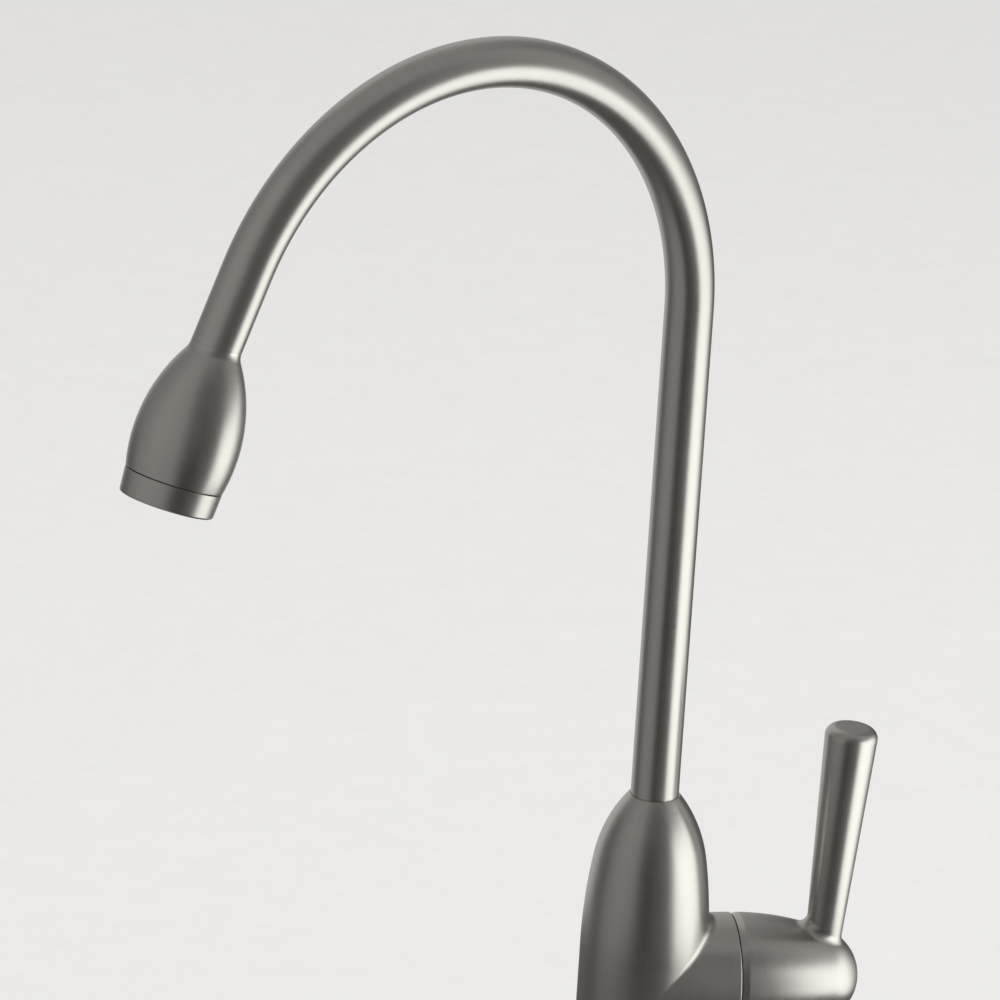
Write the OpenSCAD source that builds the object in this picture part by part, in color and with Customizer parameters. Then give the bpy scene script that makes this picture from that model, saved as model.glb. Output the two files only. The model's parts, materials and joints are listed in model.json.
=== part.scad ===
// Deck mounted drinking water tap: swan neck spout, bullet shaped body, quarter turn side valve.
// The origin lies on the counter top, on the axis of the body. The side valve points along +X.

/* [Body] */
// Diameter of the straight lower part of the body
body_d = 32; // [31:0.5:38]
// Height of the top of the body above the counter
body_top = 100; // [98:1:130]
// Height of the bullet shaped shoulder
shoulder_h = 40.5; // [39:0.5:43]
// Radius of the slow lower curve of the shoulder
shoulder_low_r = 144; // [136:2:160]
// Radius of the tighter upper curve of the shoulder
shoulder_top_r = 35.8; // [34.6:0.2:38]
// Width of the flat land round the spout hole
rim_land = 0.3; // [0.2:0.05:0.5]
// Radius of the fillet between body and valve boss, above and below
body_fillet = 2.2; // [1.6:0.1:2.6]

/* [Side valve] */
// Depth of the valve axis below the top of the body
valve_drop = 49.5; // [48:0.5:54]
// Step by which the valve boss stays inside the sides of the body
boss_inset = 0.1; // [0.1:0.05:0.6]
// Distance from the axis of the body to the face of the boss
boss_reach = 22.5; // [21.5:0.5:30]
// Rounding of the edge of the boss beside the seam
seam_edge = 0.3; // [0.2:0.1:0.8]
// Width of the open seam between boss and handle
seam_gap = 0.3; // [0.3:0.05:0.8]
// Length of the domed handle hub
hub_len = 32.4; // [31.6:0.1:36.1]
// Length of the bevel round the hub beside the seam
hub_bevel = 1.8; // [1:0.1:2.6]
// Depth of that bevel at the seam
hub_bevel_drop = 0.4; // [0.2:0.05:0.8]
// Radius of the nose of the hub
hub_nose_r = 12.2; // [11.5:0.1:12.6]

/* [Lever] */
// Distance of the lever's axis from the face of the hub, on the valve axis
lever_place = 22.5; // [21.7:0.2:23.3]
// Lean of the lever away from the body, in degrees
lever_lean = 3.2; // [0:0.2:6]
// Height of the top of the lever above the valve axis
lever_top = 67; // [50:0.5:80]
// Diameter of the lever where it leaves the hub
lever_foot_d = 9.1; // [8:0.1:10]
// Diameter of the lever at its top, before the edge is rounded
lever_top_d = 13.5; // [11:0.1:15]
// Rounding of the lever's top edge
lever_edge = 2.6; // [1:0.1:3]
// Radius of the fillet at the foot of the lever
lever_fillet = 2.6; // [1.6:0.1:3]

/* [Spout] */
// Outer diameter of the spout tube
spout_d = 12; // [11.6:0.1:12.4]
// Wall of the spout tube
spout_wall = 1.5; // [1.3:0.1:1.7]
// Height of the top of the swan neck above the counter
tap_h = 302.6; // [270:0.2:350]
// Bend radius of the swan neck, on the axis of the tube
bend_r = 70.3; // [60:0.1:90]
// Angle through which the tube is bent
bend_sweep = 155.3; // [140:0.5:170]
// Straight length of the tube between the bend and the outlet
leg = 18.6; // [8:0.2:40]
// Direction of the outlet at rest, as an angle about the axis of the body
spout_rest = 209; // [180:1:240]

/* [Outlet] */
// Extra downward tilt of the outlet against the tube
outlet_tilt = 5.8; // [2:0.2:6]
// Largest diameter of the outlet bell
bell_d = 25.2; // [24.8:0.1:27]
// Length of the outlet bell
bell_len = 32; // [31.5:0.1:36]
// Distance from the neck of the bell to its largest diameter
bell_wide_at = 23.2; // [22:0.1:25]
// Radius of the hollow curve with which the bell leaves the tube
bell_fillet = 4; // [3:0.1:5]
// Length of the aerator ring below the bell
ring_len = 5.9; // [5:0.1:8]
// Diameter of the mouth of the aerator ring
ring_mouth_d = 22.5; // [21:0.1:23]
// Rounding of the mouth edge of the aerator ring
ring_edge = 0.6; // [0.4:0.1:1.2]
// Width of the open seam between bell and aerator ring
ring_seam = 0.25; // [0.15:0.05:0.5]

/* [Base] */
// Diameter of the base flange
flange_d = 46; // [42:0.5:60]
// Height of the base flange
flange_h = 4; // [3.5:0.1:6]
// Rounding of the top edge of the base flange
flange_edge = 2.2; // [1:0.1:3]
// Depth of the seat for the body in the base flange
flange_seat = 1.5; // [1:0.1:2]
// Diameter of the base gasket
gasket_d = 43; // [38:0.5:46]
// Thickness of the base gasket
gasket_t = 1.5; // [1:0.1:3]

/* [Shank and clamp] */
// Outer diameter of the threaded shank
shank_d = 12; // [11:0.2:13]
// Diameter of the waterway through the shank
shank_bore_d = 7; // [5:0.2:8]
// Length of the shank below the counter top
shank_below = 58; // [50:1:90]
// Length of the shank screwed into the body
shank_in = 15; // [10:0.5:18]
// Thickness of the counter that the clamp is set for
counter_t = 25; // [10:1:27]
// Diameter of the rubber washer under the counter
rubber_washer_d = 32; // [26:0.5:40]
// Thickness of the rubber washer
rubber_washer_t = 3; // [2:0.5:4]
// Diameter of the steel washer
steel_washer_d = 34; // [26:0.5:42]
// Thickness of the steel washer
steel_washer_t = 2; // [1:0.5:3]
// Width across the flats of the mounting nut
nut_flats = 19; // [17:0.5:24]
// Height of the mounting nut
nut_h = 8; // [5:0.5:9]

/* [Inlet] */
// Diameter of the socket for the water tube
tube_socket_d = 6.5; // [6.45:0.05:6.8]
// Length of the socket for the water tube
tube_socket_len = 10; // [8:0.5:14]
// Outer diameter of the inlet adapter
adapter_d = 18; // [17:0.5:24]
// Length of the shank inside the adapter
adapter_grip = 10; // [8:0.5:12]
// Travel of the release collet
collet_travel = 1.5; // [1:0.1:2]

/* [Clearances] */
// Radial clearance of pieces that turn or slide in each other
run_gap = 0.05; // [0.03:0.01:0.08]
// Clearance of pieces that are fixed in each other
seat_gap = 0.03; // [0.02:0.01:0.06]
// Clearance of moving pieces that pass without touching
pass_gap = 0.3; // [0.3:0.05:0.4]

/* [Hidden] */
$fn = 96;

// Finishes
steel = [0.62, 0.61, 0.58];
brass = [0.78, 0.64, 0.36];
rubber = [0.07, 0.07, 0.07];
ceramic = [0.9, 0.9, 0.87];
plastic = [0.86, 0.86, 0.84];

// Length by which a cut runs past the face that it opens
past = 1;

// Body and shoulder
body_r = body_d / 2;
body_foot = gasket_t + flange_h - flange_seat;
spout_r = spout_d / 2;
spout_hole_r = spout_r + run_gap;
rim_r = spout_hole_r + rim_land;
shoulder_z = body_top - shoulder_h;
arc_step = shoulder_low_r - shoulder_top_r;
rim_from_centre = [rim_r - body_r + shoulder_low_r, shoulder_h];
rim_reach = norm(rim_from_centre);
rim_cos = (rim_reach * rim_reach + arc_step * arc_step - shoulder_top_r * shoulder_top_r)
    / (2 * rim_reach * arc_step);
join_angle = atan2(rim_from_centre.y, rim_from_centre.x) - acos(rim_cos);
join_h = shoulder_low_r * sin(join_angle);
low_centre = [body_r - shoulder_low_r, shoulder_z];
top_centre = low_centre + arc_step * [cos(join_angle), sin(join_angle)];
foot_edge = 0.4;
// The tighter of two joined curves stands this much proud, so that they cross and don't only touch
join_proud = 0.002;
// Depth by which the groove of a fillet is sunk into the sides of its corner
fillet_bite = 0.05;

// Side valve, with places measured along the valve axis from the axis of the body
valve_z = body_top - valve_drop;
boss_r = body_r - boss_inset;
// Centres of the fillets between body and boss, from the crossing of their axes
fillet_up = boss_r + body_fillet;
top_fillet_x = sqrt(pow(shoulder_low_r + body_fillet, 2) - pow(valve_z + fillet_up - shoulder_z, 2))
    - shoulder_low_r + body_r;
low_fillet_x = body_r + body_fillet;
chamber_r = 9;
seat_port_r = 3;
seal_t = 2;
seal_bore_r = 4;
disc_t = 3;
disc_r = 7.4;
disc_gap = run_gap;
pocket_r = disc_r + run_gap;
moving_disc_r = pocket_r - pass_gap;
fixed_disc_at = seal_t;
moving_disc_at = fixed_disc_at + disc_t + disc_gap;
collar_at = moving_disc_at + disc_t + seat_gap;
collar_t = 2.4;
pocket_end = collar_at + collar_t + run_gap;
cartridge_front = 0.8;
window_len = disc_t;
window_w = 7;
hex_flats = 20;
hex_t = 3.6;
hex_end = boss_reach + hex_t;
neck_r = 6.5;
neck_len = 7;
neck_end = hex_end + neck_len;
spindle_r = 4;
spindle_seal_at = (pocket_end + boss_reach) / 2;
clip_t = 0.8;
clip_r = 5.4;
clip_groove_r = 3.2;
clip_at = neck_end + run_gap;
drive_r = 3.6;
drive_at = clip_at + clip_t;
drive_len = 11;
drive_end = drive_at + drive_len;
drive_flat = 0.7;
tongue_w = 3;
tongue_t = 1;
tongue_len = 2 * moving_disc_r - 4;
cartridge_seal_r = 0.8;
cartridge_seal_at = boss_reach - 3;
seal_groove_slack = 0.2;
spindle_seal_r = 0.5;

// Handle hub
hub_face = boss_reach + seam_gap;
hub_tip = hub_face + hub_len;
nose_x = hub_tip - hub_nose_r;
nose_from_face = nose_x - hub_face;
hub_side_r = (nose_from_face * nose_from_face / (boss_r - hub_nose_r) + boss_r + hub_nose_r) / 2;
hub_side_centre = boss_r - hub_side_r;
hub_join_angle = atan2(nose_from_face, -hub_side_centre);
hub_join_x = nose_x + hub_nose_r * sin(hub_join_angle);
hub_hex_room_r = hex_flats / sqrt(3) + 2 * pass_gap;
hub_hex_room_end = hex_end + pass_gap;
hub_neck_room_r = neck_r + pass_gap;
hub_neck_room_end = drive_at + pass_gap;
grub_r = 2;
grub_len = 6;
grub_key_r = 1.1;
grub_key_depth = 2;
grub_at = (hub_neck_room_end + drive_end) / 2;
grub_from = drive_r - drive_flat + seat_gap;

// Lever
lever_x = hub_face + lever_place;
lever_foot_h = lever_x < hub_join_x
    ? hub_side_centre + sqrt(pow(hub_side_r, 2) - pow(lever_place, 2))
    : sqrt(pow(hub_nose_r, 2) - pow(lever_x - nose_x, 2));
lever_root = 7;
lever_len = lever_top - lever_foot_h + lever_root;
lever_flare = (lever_top_d - lever_foot_d) / 2 / (lever_top - lever_foot_h);
lever_root_r = lever_foot_d / 2 - lever_flare * lever_root;
// Centre of the lever's fillet, on the side towards the body, where a ball touches both lever and hub
lever_up = [sin(lever_lean), cos(lever_lean)];
lever_out = [-lever_up.y, lever_up.x];
lever_axis_r = lever_foot_d / 2 - lever_flare * lever_foot_h;
fillet_start = [lever_x, 0] + (lever_axis_r + lever_fillet) * lever_out - [hub_face, hub_side_centre];
fillet_run = lever_up + lever_flare * lever_out;
fillet_rate = norm(fillet_run);
fillet_back = fillet_start * fillet_run / fillet_rate;
fillet_gap = pow(norm(fillet_start), 2) - pow(hub_side_r + lever_fillet, 2);
fillet_lift = (sqrt(pow(fillet_back, 2) - fillet_gap) - fillet_back) / fillet_rate;
fillet_centre = fillet_start + fillet_lift * fillet_run;
fillet_slope = atan2(fillet_centre.x, fillet_centre.y);
fillet_round_r = lever_foot_d / 2 + lever_fillet;
fillet_tilt = atan(tan(fillet_slope) + fillet_round_r / (fillet_centre.y + hub_side_centre));
fillet_disc_r = fillet_round_r * cos(fillet_tilt);

// Spout
spout_bore_r = spout_r - spout_wall;
bend_z = tap_h - spout_r - bend_r;
bend_lap = 0.5;
bend_draw = 0.03;
ferrule_len = 14;
ferrule_spigot = 8;
ferrule_bore_r = 3;
tube_in = 20;
tube_foot = body_top - tube_in;
ferrule_foot = tube_foot - ferrule_len;
swivel_washer_t = 1;
swivel_washer_bore_r = 4.6;
spout_floor = ferrule_foot - run_gap - swivel_washer_t;
spout_seal_r = 0.7;
spout_seal_from = 3;
spout_seal_step = 3.5;
spout_seal_z = [for (i = [0, 1]) ferrule_foot + spout_seal_from + i * spout_seal_step];
snap_t = 1;
snap_from = 10;
snap_z = ferrule_foot + snap_from;
snap_groove_r = spout_r - 0.8;
snap_r = spout_r + 0.8;
snap_room_r = snap_r + pass_gap;
snap_slit = 3;
spout_port_r = 2.2;
spout_port_x = swivel_washer_bore_r - spout_port_r - 0.5;
spout_plenum_h = 2.5;

// Outlet
bell_r = bell_d / 2;
bell_neck_r = spout_r + bell_fillet;
bell_step = bell_neck_r - bell_r;
bell_arc_r = (bell_step * bell_step + bell_wide_at * bell_wide_at - bell_fillet * bell_fillet)
    / (2 * (bell_fillet - bell_step));
bell_join = bell_fillet / (bell_arc_r + bell_fillet) * [bell_r - bell_arc_r - bell_neck_r, bell_wide_at]
    + [bell_neck_r, 0];
bell_end_r = bell_r - bell_arc_r + sqrt(pow(bell_arc_r, 2) - pow(bell_len - bell_wide_at, 2));
socket_r = spout_r - 0.8;
socket_len = 10;
bell_room_r = 8;
bell_room_from = 14;
thread_r = 10;
thread_depth = 6.5;
thread_from = bell_len - thread_depth;
aerator_washer_t = 1.5;
aerator_washer_bore_r = 7.3;
ring_top = bell_len + ring_seam;
ring_end = ring_top + ring_len;
ring_bore_r = 8.5;
ring_lip = 1;
ring_lip_r = 7.9;
ring_spigot_from = thread_from + aerator_washer_t;
insert_r = ring_bore_r - seat_gap;
insert_end = ring_end - ring_lip;
screen_t = 0.6;
insert_from = ring_spigot_from + pass_gap + screen_t;
screen_from = insert_from - screen_t;
hole_rows = [0, 3, 6];
insert_hole_r = 1.1;
screen_hole_r = 0.8;

// Shank, clamp and inlet
shank_r = shank_d / 2;
shank_hole_r = shank_r + pass_gap;
shank_top = body_foot + shank_in;
shank_end = -shank_below;
shank_seal_t = 1;
plenum_r = 5.4;
plenum_h = 4;
inlet_x = -5.4;
inlet_r = 2.4;
clamp_top = -counter_t;
steel_washer_top = clamp_top - rubber_washer_t;
nut_top = steel_washer_top - steel_washer_t;
nut_edge = 0.8;
washer_edge = 0.3;
adapter_r = adapter_d / 2;
adapter_top = shank_end + adapter_grip;
stop_t = 2;
stop_bore_r = 2.4;
tube_r = tube_socket_d / 2;
tube_stop = shank_end - stop_t;
tube_mouth = tube_stop - tube_socket_len;
inlet_seal_r = 0.95;
inlet_seal_bore_r = tube_r + 0.01;
inlet_seal_room = 2 * inlet_seal_r + 0.4;
collet_room_r = inlet_seal_bore_r + 2 * inlet_seal_r + 0.1;
collet_r = collet_room_r - run_gap;
collet_bore_r = tube_r + run_gap;
collet_top = tube_mouth - inlet_seal_room - collet_travel - pass_gap;
adapter_end = collet_top - 4;
collet_flange_r = adapter_r - 1.4;
collet_flange_top = adapter_end - collet_travel - pass_gap;
collet_flange_t = 1.6;
collet_slit = 1;
adapter_edge = 1;

// Turned profile: a straight or tapering side from r0 to r1 over height h, with its top edge rounded
module turned(r0, r1, h, edge) {
    side = [r1 - r0, h] / norm([r1 - r0, h]);
    outward = [side.y, -side.x];
    centre = [r0 - (edge + (h - edge) * outward.y) / outward.x, h - edge];
    touch = centre + edge * outward;
    intersection() {
        polygon([[0, 0], [r0, 0], [r1, h], [0, h]]);
        union() {
            translate(centre) circle(edge + join_proud);
            translate([0, -past]) square([centre.x, h + 2 * past]);
            translate([0, -past]) square([max(r0, r1) + past, touch.y + past]);
        }
    }
}

// Flat ring between two radii, standing on z = 0
module ring(outer_r, inner_r, h) {
    difference() {
        cylinder(r = outer_r, h = h);
        translate([0, 0, -past]) cylinder(r = inner_r, h = h + 2 * past);
    }
}

// Flat ring as above, with its four edges bevelled
module bevelled_ring(outer_r, inner_r, h, bevel) {
    rotate_extrude() polygon([
        [inner_r + bevel, 0], [outer_r - bevel, 0], [outer_r, bevel], [outer_r, h - bevel],
        [outer_r - bevel, h], [inner_r + bevel, h], [inner_r, h - bevel], [inner_r, bevel]
    ]);
}

// Round seal of radius r around a circle of radius at
module o_ring(at, r) {
    rotate_extrude() translate([at, 0]) circle(r);
}

// Ring to cut the groove for a round seal of radius seal_r out of a piece of radius r
module seal_groove(r, seal_r) {
    ring(r + past, r - 2 * seal_r, 2 * (seal_r + seal_groove_slack));
}

// Puts children with their +Z along the valve axis, measured from the axis of the body
module along_valve(at = 0) {
    translate([at, 0, valve_z]) rotate([0, 90, 0]) children();
}

// Puts children at the end of the spout tube, with their +Z along the flow
module at_tube_end() {
    rotate([0, 0, spout_rest])
        translate([
            bend_r * (1 - cos(bend_sweep)) + leg * sin(bend_sweep),
            0,
            bend_z + bend_r * sin(bend_sweep) + leg * cos(bend_sweep)
        ])
            rotate([0, bend_sweep, 0]) children();
}

// Puts children in the tilted frame of the outlet bell
module at_outlet() {
    at_tube_end() rotate([0, outlet_tilt, 0]) children();
}

// Holes in rings around a centre hole, six more in each ring
module spread_holes(r, h) {
    for (row = [0 : len(hole_rows) - 1])
        for (i = [0 : max(1, 6 * row) - 1])
            rotate([0, 0, 60 * i / max(1, row)]) translate([hole_rows[row], 0, 0]) cylinder(r = r, h = h);
}

// Outline of the body from the axis to its skin
module body_outline() {
    translate([0, body_foot]) turned_foot(body_r, shoulder_z - body_foot);
    intersection() {
        translate(low_centre) circle(shoulder_low_r);
        translate([0, shoulder_z]) square([body_r, shoulder_h]);
        union() {
            translate(top_centre) circle(shoulder_top_r + join_proud);
            translate([0, shoulder_z - past]) square([body_d, join_h + past]);
        }
    }
}

// Straight side with a small bevel at its foot
module turned_foot(r, h) {
    polygon([[0, 0], [r - foot_edge, 0], [r, foot_edge], [r, h], [0, h]]);
}

// Fillet in the corner of two crossing round forms: a disc laid across it, with a round groove in its rim.
// The groove reaches down and up from the plane of the disc by the two angles and ends inside both forms.
module fillet_disc(r, fillet_r, down, up) {
    groove_r = fillet_r + fillet_bite;
    rotate_extrude() difference() {
        translate([0, -groove_r * sin(down)]) square([r, groove_r * (sin(down) + sin(up))]);
        translate([r, 0]) circle(groove_r);
    }
}

// Fillet between body and boss, with its centre at [x, z] from the crossing of their axes
module corner_fillet(x, z) {
    reach = norm([x, z]);
    turn_r = pow((body_r + boss_r) / 2 + body_fillet, 2) / reach;
    translate([0, 0, valve_z]) rotate([0, -atan2(z, x), 0]) translate([reach - turn_r, 0, 0])
        fillet_disc(turn_r, body_fillet, 45, 45);
}

module body_shell() {
    color(steel) difference() {
        union() {
            rotate_extrude() body_outline();
            along_valve() rotate_extrude() turned(boss_r, boss_r, boss_reach, seam_edge);
            corner_fillet(top_fillet_x, fillet_up);
            corner_fillet(low_fillet_x, -fillet_up);
        }
        // Spout hole with the groove for the snap ring, and the way in from the valve
        translate([0, 0, spout_floor]) cylinder(r = spout_hole_r, h = body_top - spout_floor + past);
        translate([0, 0, snap_z - pass_gap]) cylinder(r = snap_room_r, h = snap_t + 2 * pass_gap);
        translate([0, 0, spout_floor - spout_plenum_h])
            cylinder(r = swivel_washer_bore_r, h = spout_plenum_h + past);
        translate([spout_port_x, 0, valve_z])
            cylinder(r = spout_port_r, h = spout_floor - spout_plenum_h - valve_z + past);
        // Valve chamber and its seat port
        along_valve() cylinder(r = chamber_r, h = boss_reach + past);
        along_valve(inlet_x) cylinder(r = seat_port_r, h = past - inlet_x);
        // Shank thread, plenum and the way up to the seat
        translate([0, 0, body_foot - past])
            cylinder(r = shank_r + seat_gap, h = shank_in + shank_seal_t + past);
        translate([0, 0, shank_top]) cylinder(r = plenum_r, h = shank_seal_t + plenum_h);
        translate([inlet_x, 0, shank_top + shank_seal_t])
            cylinder(r = inlet_r, h = valve_z - shank_top - shank_seal_t);
    }
}

module base_flange() {
    color(steel) translate([0, 0, gasket_t]) difference() {
        rotate_extrude() turned(flange_d / 2, flange_d / 2, flange_h, flange_edge);
        translate([0, 0, flange_h - flange_seat]) cylinder(r = body_r + seat_gap, h = flange_seat + past);
        translate([0, 0, -past]) cylinder(r = shank_hole_r, h = flange_h + past);
    }
}

module base_gasket() {
    color(rubber) bevelled_ring(gasket_d / 2, shank_hole_r, gasket_t, washer_edge);
}

module threaded_shank() {
    color(brass) translate([0, 0, shank_end]) ring(shank_r, shank_bore_d / 2, shank_top - shank_end);
}

module shank_seal() {
    color(rubber) translate([0, 0, shank_top]) ring(plenum_r - seat_gap, shank_bore_d / 2, shank_seal_t);
}

module inlet_adapter() {
    color(plastic) difference() {
        translate([0, 0, adapter_end])
            rotate_extrude() turned(adapter_r, adapter_r, adapter_top - adapter_end, adapter_edge);
        translate([0, 0, shank_end]) cylinder(r = shank_r + seat_gap, h = adapter_grip + past);
        translate([0, 0, tube_stop - past]) cylinder(r = stop_bore_r, h = stop_t + 2 * past);
        translate([0, 0, tube_mouth - past]) cylinder(r = tube_r, h = tube_socket_len + past);
        translate([0, 0, adapter_end - past])
            cylinder(r = collet_room_r, h = tube_mouth - adapter_end + past);
    }
}

module inlet_o_ring() {
    color(rubber) translate([0, 0, tube_mouth - inlet_seal_r])
        o_ring(inlet_seal_bore_r + inlet_seal_r, inlet_seal_r);
}

module release_collet() {
    color(plastic) difference() {
        union() {
            translate([0, 0, collet_flange_top]) cylinder(r = collet_r, h = collet_top - collet_flange_top);
            translate([0, 0, collet_flange_top - collet_flange_t])
                cylinder(r = collet_flange_r, h = collet_flange_t);
        }
        translate([0, 0, collet_flange_top - collet_flange_t - past])
            cylinder(r = collet_bore_r, h = collet_top - collet_flange_top + collet_flange_t + 2 * past);
        // Slits that let the fingers of the collet spread
        for (turn = [0, 90])
            rotate([0, 0, turn])
                translate([-collet_flange_r, -collet_slit / 2, adapter_end])
                    cube([2 * collet_flange_r, collet_slit, collet_top - adapter_end + past]);
    }
}

module swivel_washer() {
    color(plastic) translate([0, 0, spout_floor])
        ring(spout_hole_r - seat_gap, swivel_washer_bore_r, swivel_washer_t);
}

// Headwork: disc pocket with water windows, hexagon on the face of the boss and a neck for the spindle
module cartridge_body() {
    color(brass) along_valve() difference() {
        union() {
            translate([0, 0, cartridge_front])
                cylinder(r = chamber_r - seat_gap, h = boss_reach - cartridge_front);
            translate([0, 0, boss_reach]) cylinder(r = hex_flats / sqrt(3), h = hex_t, $fn = 6);
            cylinder(r = neck_r, h = neck_end);
        }
        translate([0, 0, -past]) cylinder(r = pocket_r, h = pocket_end + past);
        cylinder(r = spindle_r + run_gap, h = neck_end + past);
        translate([-chamber_r - past, -window_w / 2, moving_disc_at])
            cube([2 * chamber_r + 2 * past, window_w, window_len]);
        translate([0, 0, cartridge_seal_at - cartridge_seal_r - seal_groove_slack])
            seal_groove(chamber_r, cartridge_seal_r);
    }
}

module cartridge_o_ring() {
    color(rubber) along_valve(cartridge_seal_at)
        o_ring(chamber_r - cartridge_seal_r - seat_gap / 2, cartridge_seal_r - seat_gap / 2);
}

module seat_seal() {
    color(rubber) along_valve() ring(pocket_r - seat_gap, seal_bore_r, seal_t);
}

// Ceramic disc with two quarter openings
module ported_disc(r) {
    difference() {
        cylinder(r = r, h = disc_t);
        for (turn = [0, 180])
            rotate([0, 0, turn + 45]) translate([0, 0, -past]) intersection() {
                ring(r - 1.4, 1.6, disc_t + 2 * past);
                cube([r, r, disc_t + 2 * past]);
            }
    }
}

module fixed_disc() {
    color(ceramic) along_valve(fixed_disc_at) ported_disc(pocket_r - seat_gap);
}

// The moving disc stands a quarter turn from the fixed one, so the valve is shut with the lever upright
module moving_disc() {
    color(ceramic) along_valve(moving_disc_at) difference() {
        rotate([0, 0, 90]) ported_disc(moving_disc_r);
        translate([-tongue_len / 2 - seat_gap, -tongue_w / 2 - seat_gap, disc_t - tongue_t])
            cube([tongue_len + 2 * seat_gap, tongue_w + 2 * seat_gap, tongue_t + past]);
    }
}

module valve_spindle() {
    color(brass) along_valve() difference() {
        union() {
            translate([-tongue_len / 2, -tongue_w / 2, collar_at - tongue_t + seat_gap])
                cube([tongue_len, tongue_w, tongue_t]);
            translate([0, 0, collar_at]) cylinder(r = moving_disc_r, h = collar_t);
            translate([0, 0, collar_at]) cylinder(r = spindle_r, h = clip_at - collar_at);
            translate([0, 0, collar_at]) cylinder(r = clip_groove_r, h = drive_at - collar_at);
            translate([0, 0, drive_at]) cylinder(r = drive_r, h = drive_len);
        }
        translate([0, 0, spindle_seal_at - spindle_seal_r - seal_groove_slack])
            seal_groove(spindle_r, spindle_seal_r);
        // Flat for the grub screw, on the underside
        translate([drive_r - drive_flat, -drive_r, drive_at + past])
            cube([drive_r, 2 * drive_r, drive_len]);
    }
}

module spindle_o_ring() {
    color(rubber) along_valve(spindle_seal_at)
        o_ring(spindle_r - spindle_seal_r + seat_gap / 2, spindle_seal_r);
}

module spindle_clip() {
    color(steel) along_valve(clip_at) difference() {
        ring(clip_r, clip_groove_r + seat_gap, clip_t - seat_gap);
        translate([0, -clip_groove_r / 2, -past]) cube([clip_r + past, clip_groove_r, clip_t + 2 * past]);
    }
}

// Outline of the hub: a bevel at the seam, and a slow curve that runs into the round nose
module hub_outline() {
    intersection() {
        translate([hub_side_centre, hub_face]) circle(hub_side_r);
        translate([0, hub_face]) square([boss_r, hub_len + past]);
        union() {
            translate([0, nose_x]) circle(hub_nose_r + join_proud);
            translate([0, hub_face - past]) square([body_d, hub_join_x - hub_face + past]);
        }
        polygon([
            [0, hub_face], [boss_r - hub_bevel_drop, hub_face],
            [boss_r + hub_bevel_drop, hub_face + 2 * hub_bevel],
            [boss_r + hub_bevel_drop, hub_tip + past], [0, hub_tip + past]
        ]);
    }
}

// Handle: domed hub and tapered lever in one piece, hollow over the headwork
module lever_handle() {
    color(steel) difference() {
        union() {
            along_valve() rotate_extrude() hub_outline();
            translate([lever_x, 0, valve_z]) rotate([0, lever_lean, 0])
                translate([0, 0, lever_foot_h - lever_root])
                    rotate_extrude() turned(lever_root_r, lever_top_d / 2, lever_len, lever_edge);
            translate([hub_face + fillet_centre.x, 0, valve_z + hub_side_centre + fillet_centre.y])
                rotate([0, fillet_tilt, 0]) translate([fillet_disc_r, 0, 0])
                    fillet_disc(fillet_disc_r, lever_fillet, 90 + fillet_slope - fillet_tilt, fillet_tilt);
        }
        along_valve() {
            translate([0, 0, hub_face - past])
                cylinder(r = hub_hex_room_r, h = hub_hex_room_end - hub_face + past);
            translate([0, 0, hub_face]) cylinder(r = hub_neck_room_r, h = hub_neck_room_end - hub_face);
            translate([0, 0, hub_face])
                cylinder(r = drive_r + seat_gap, h = drive_end + seat_gap - hub_face);
        }
        translate([grub_at, 0, valve_z - boss_r - past]) cylinder(r = grub_r + seat_gap, h = boss_r + past);
    }
}

module grub_screw() {
    color(steel) translate([grub_at, 0, valve_z - grub_from - grub_len]) difference() {
        cylinder(r = grub_r, h = grub_len);
        translate([0, 0, -past]) cylinder(r = grub_key_r, h = grub_key_depth + past, $fn = 6);
    }
}

// Swan neck: riser, bend and leg, with a reduced end that fits the socket of the bell.
// The straight lengths lap a little way over the drawn wall of the bend.
module spout_tube() {
    color(steel) union() {
        translate([0, 0, tube_foot]) ring(spout_r, spout_bore_r, bend_z - tube_foot + bend_lap);
        rotate([0, 0, spout_rest]) translate([bend_r, 0, bend_z]) rotate([90, 0, 0])
            rotate_extrude(angle = bend_sweep, start = 180 - bend_sweep)
                translate([bend_r, 0]) difference() {
                    circle(spout_r - bend_draw);
                    circle(spout_bore_r + bend_draw);
                }
        at_tube_end() translate([0, 0, -leg - bend_lap]) ring(spout_r, spout_bore_r, leg + bend_lap);
        at_tube_end() ring(socket_r - seat_gap, spout_bore_r, socket_len);
    }
}

module spout_ferrule() {
    color(brass) translate([0, 0, ferrule_foot]) difference() {
        union() {
            cylinder(r = spout_r, h = ferrule_len);
            cylinder(r = spout_bore_r - seat_gap, h = ferrule_len + ferrule_spigot);
        }
        translate([0, 0, -past]) cylinder(r = ferrule_bore_r, h = ferrule_len + ferrule_spigot + 2 * past);
        for (z = spout_seal_z)
            translate([0, 0, z - ferrule_foot - spout_seal_r - seal_groove_slack])
                seal_groove(spout_r, spout_seal_r);
        translate([0, 0, snap_z - ferrule_foot - seat_gap])
            ring(spout_r + past, snap_groove_r, snap_t + 2 * seat_gap);
    }
}

module spout_o_rings() {
    color(rubber) for (z = spout_seal_z)
        translate([0, 0, z]) o_ring(spout_r - spout_seal_r + seat_gap / 2, spout_seal_r);
}

module spout_clip() {
    color(steel) translate([0, 0, snap_z]) difference() {
        ring(snap_r, snap_groove_r + seat_gap, snap_t);
        translate([0, -snap_slit / 2, -past]) cube([snap_r + past, snap_slit, snap_t + 2 * past]);
    }
}

// Outline of the bell: a hollow curve that leaves the tube, then one long bulge to the seam
module bell_outline() {
    translate([0, -past]) square([spout_r, 2 * past]);
    difference() {
        union() {
            square(bell_join);
            intersection() {
                translate([bell_r - bell_arc_r, bell_wide_at]) circle(bell_arc_r);
                square([bell_r, bell_len]);
            }
        }
        translate([bell_neck_r, 0]) circle(bell_fillet + join_proud);
    }
}

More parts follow.
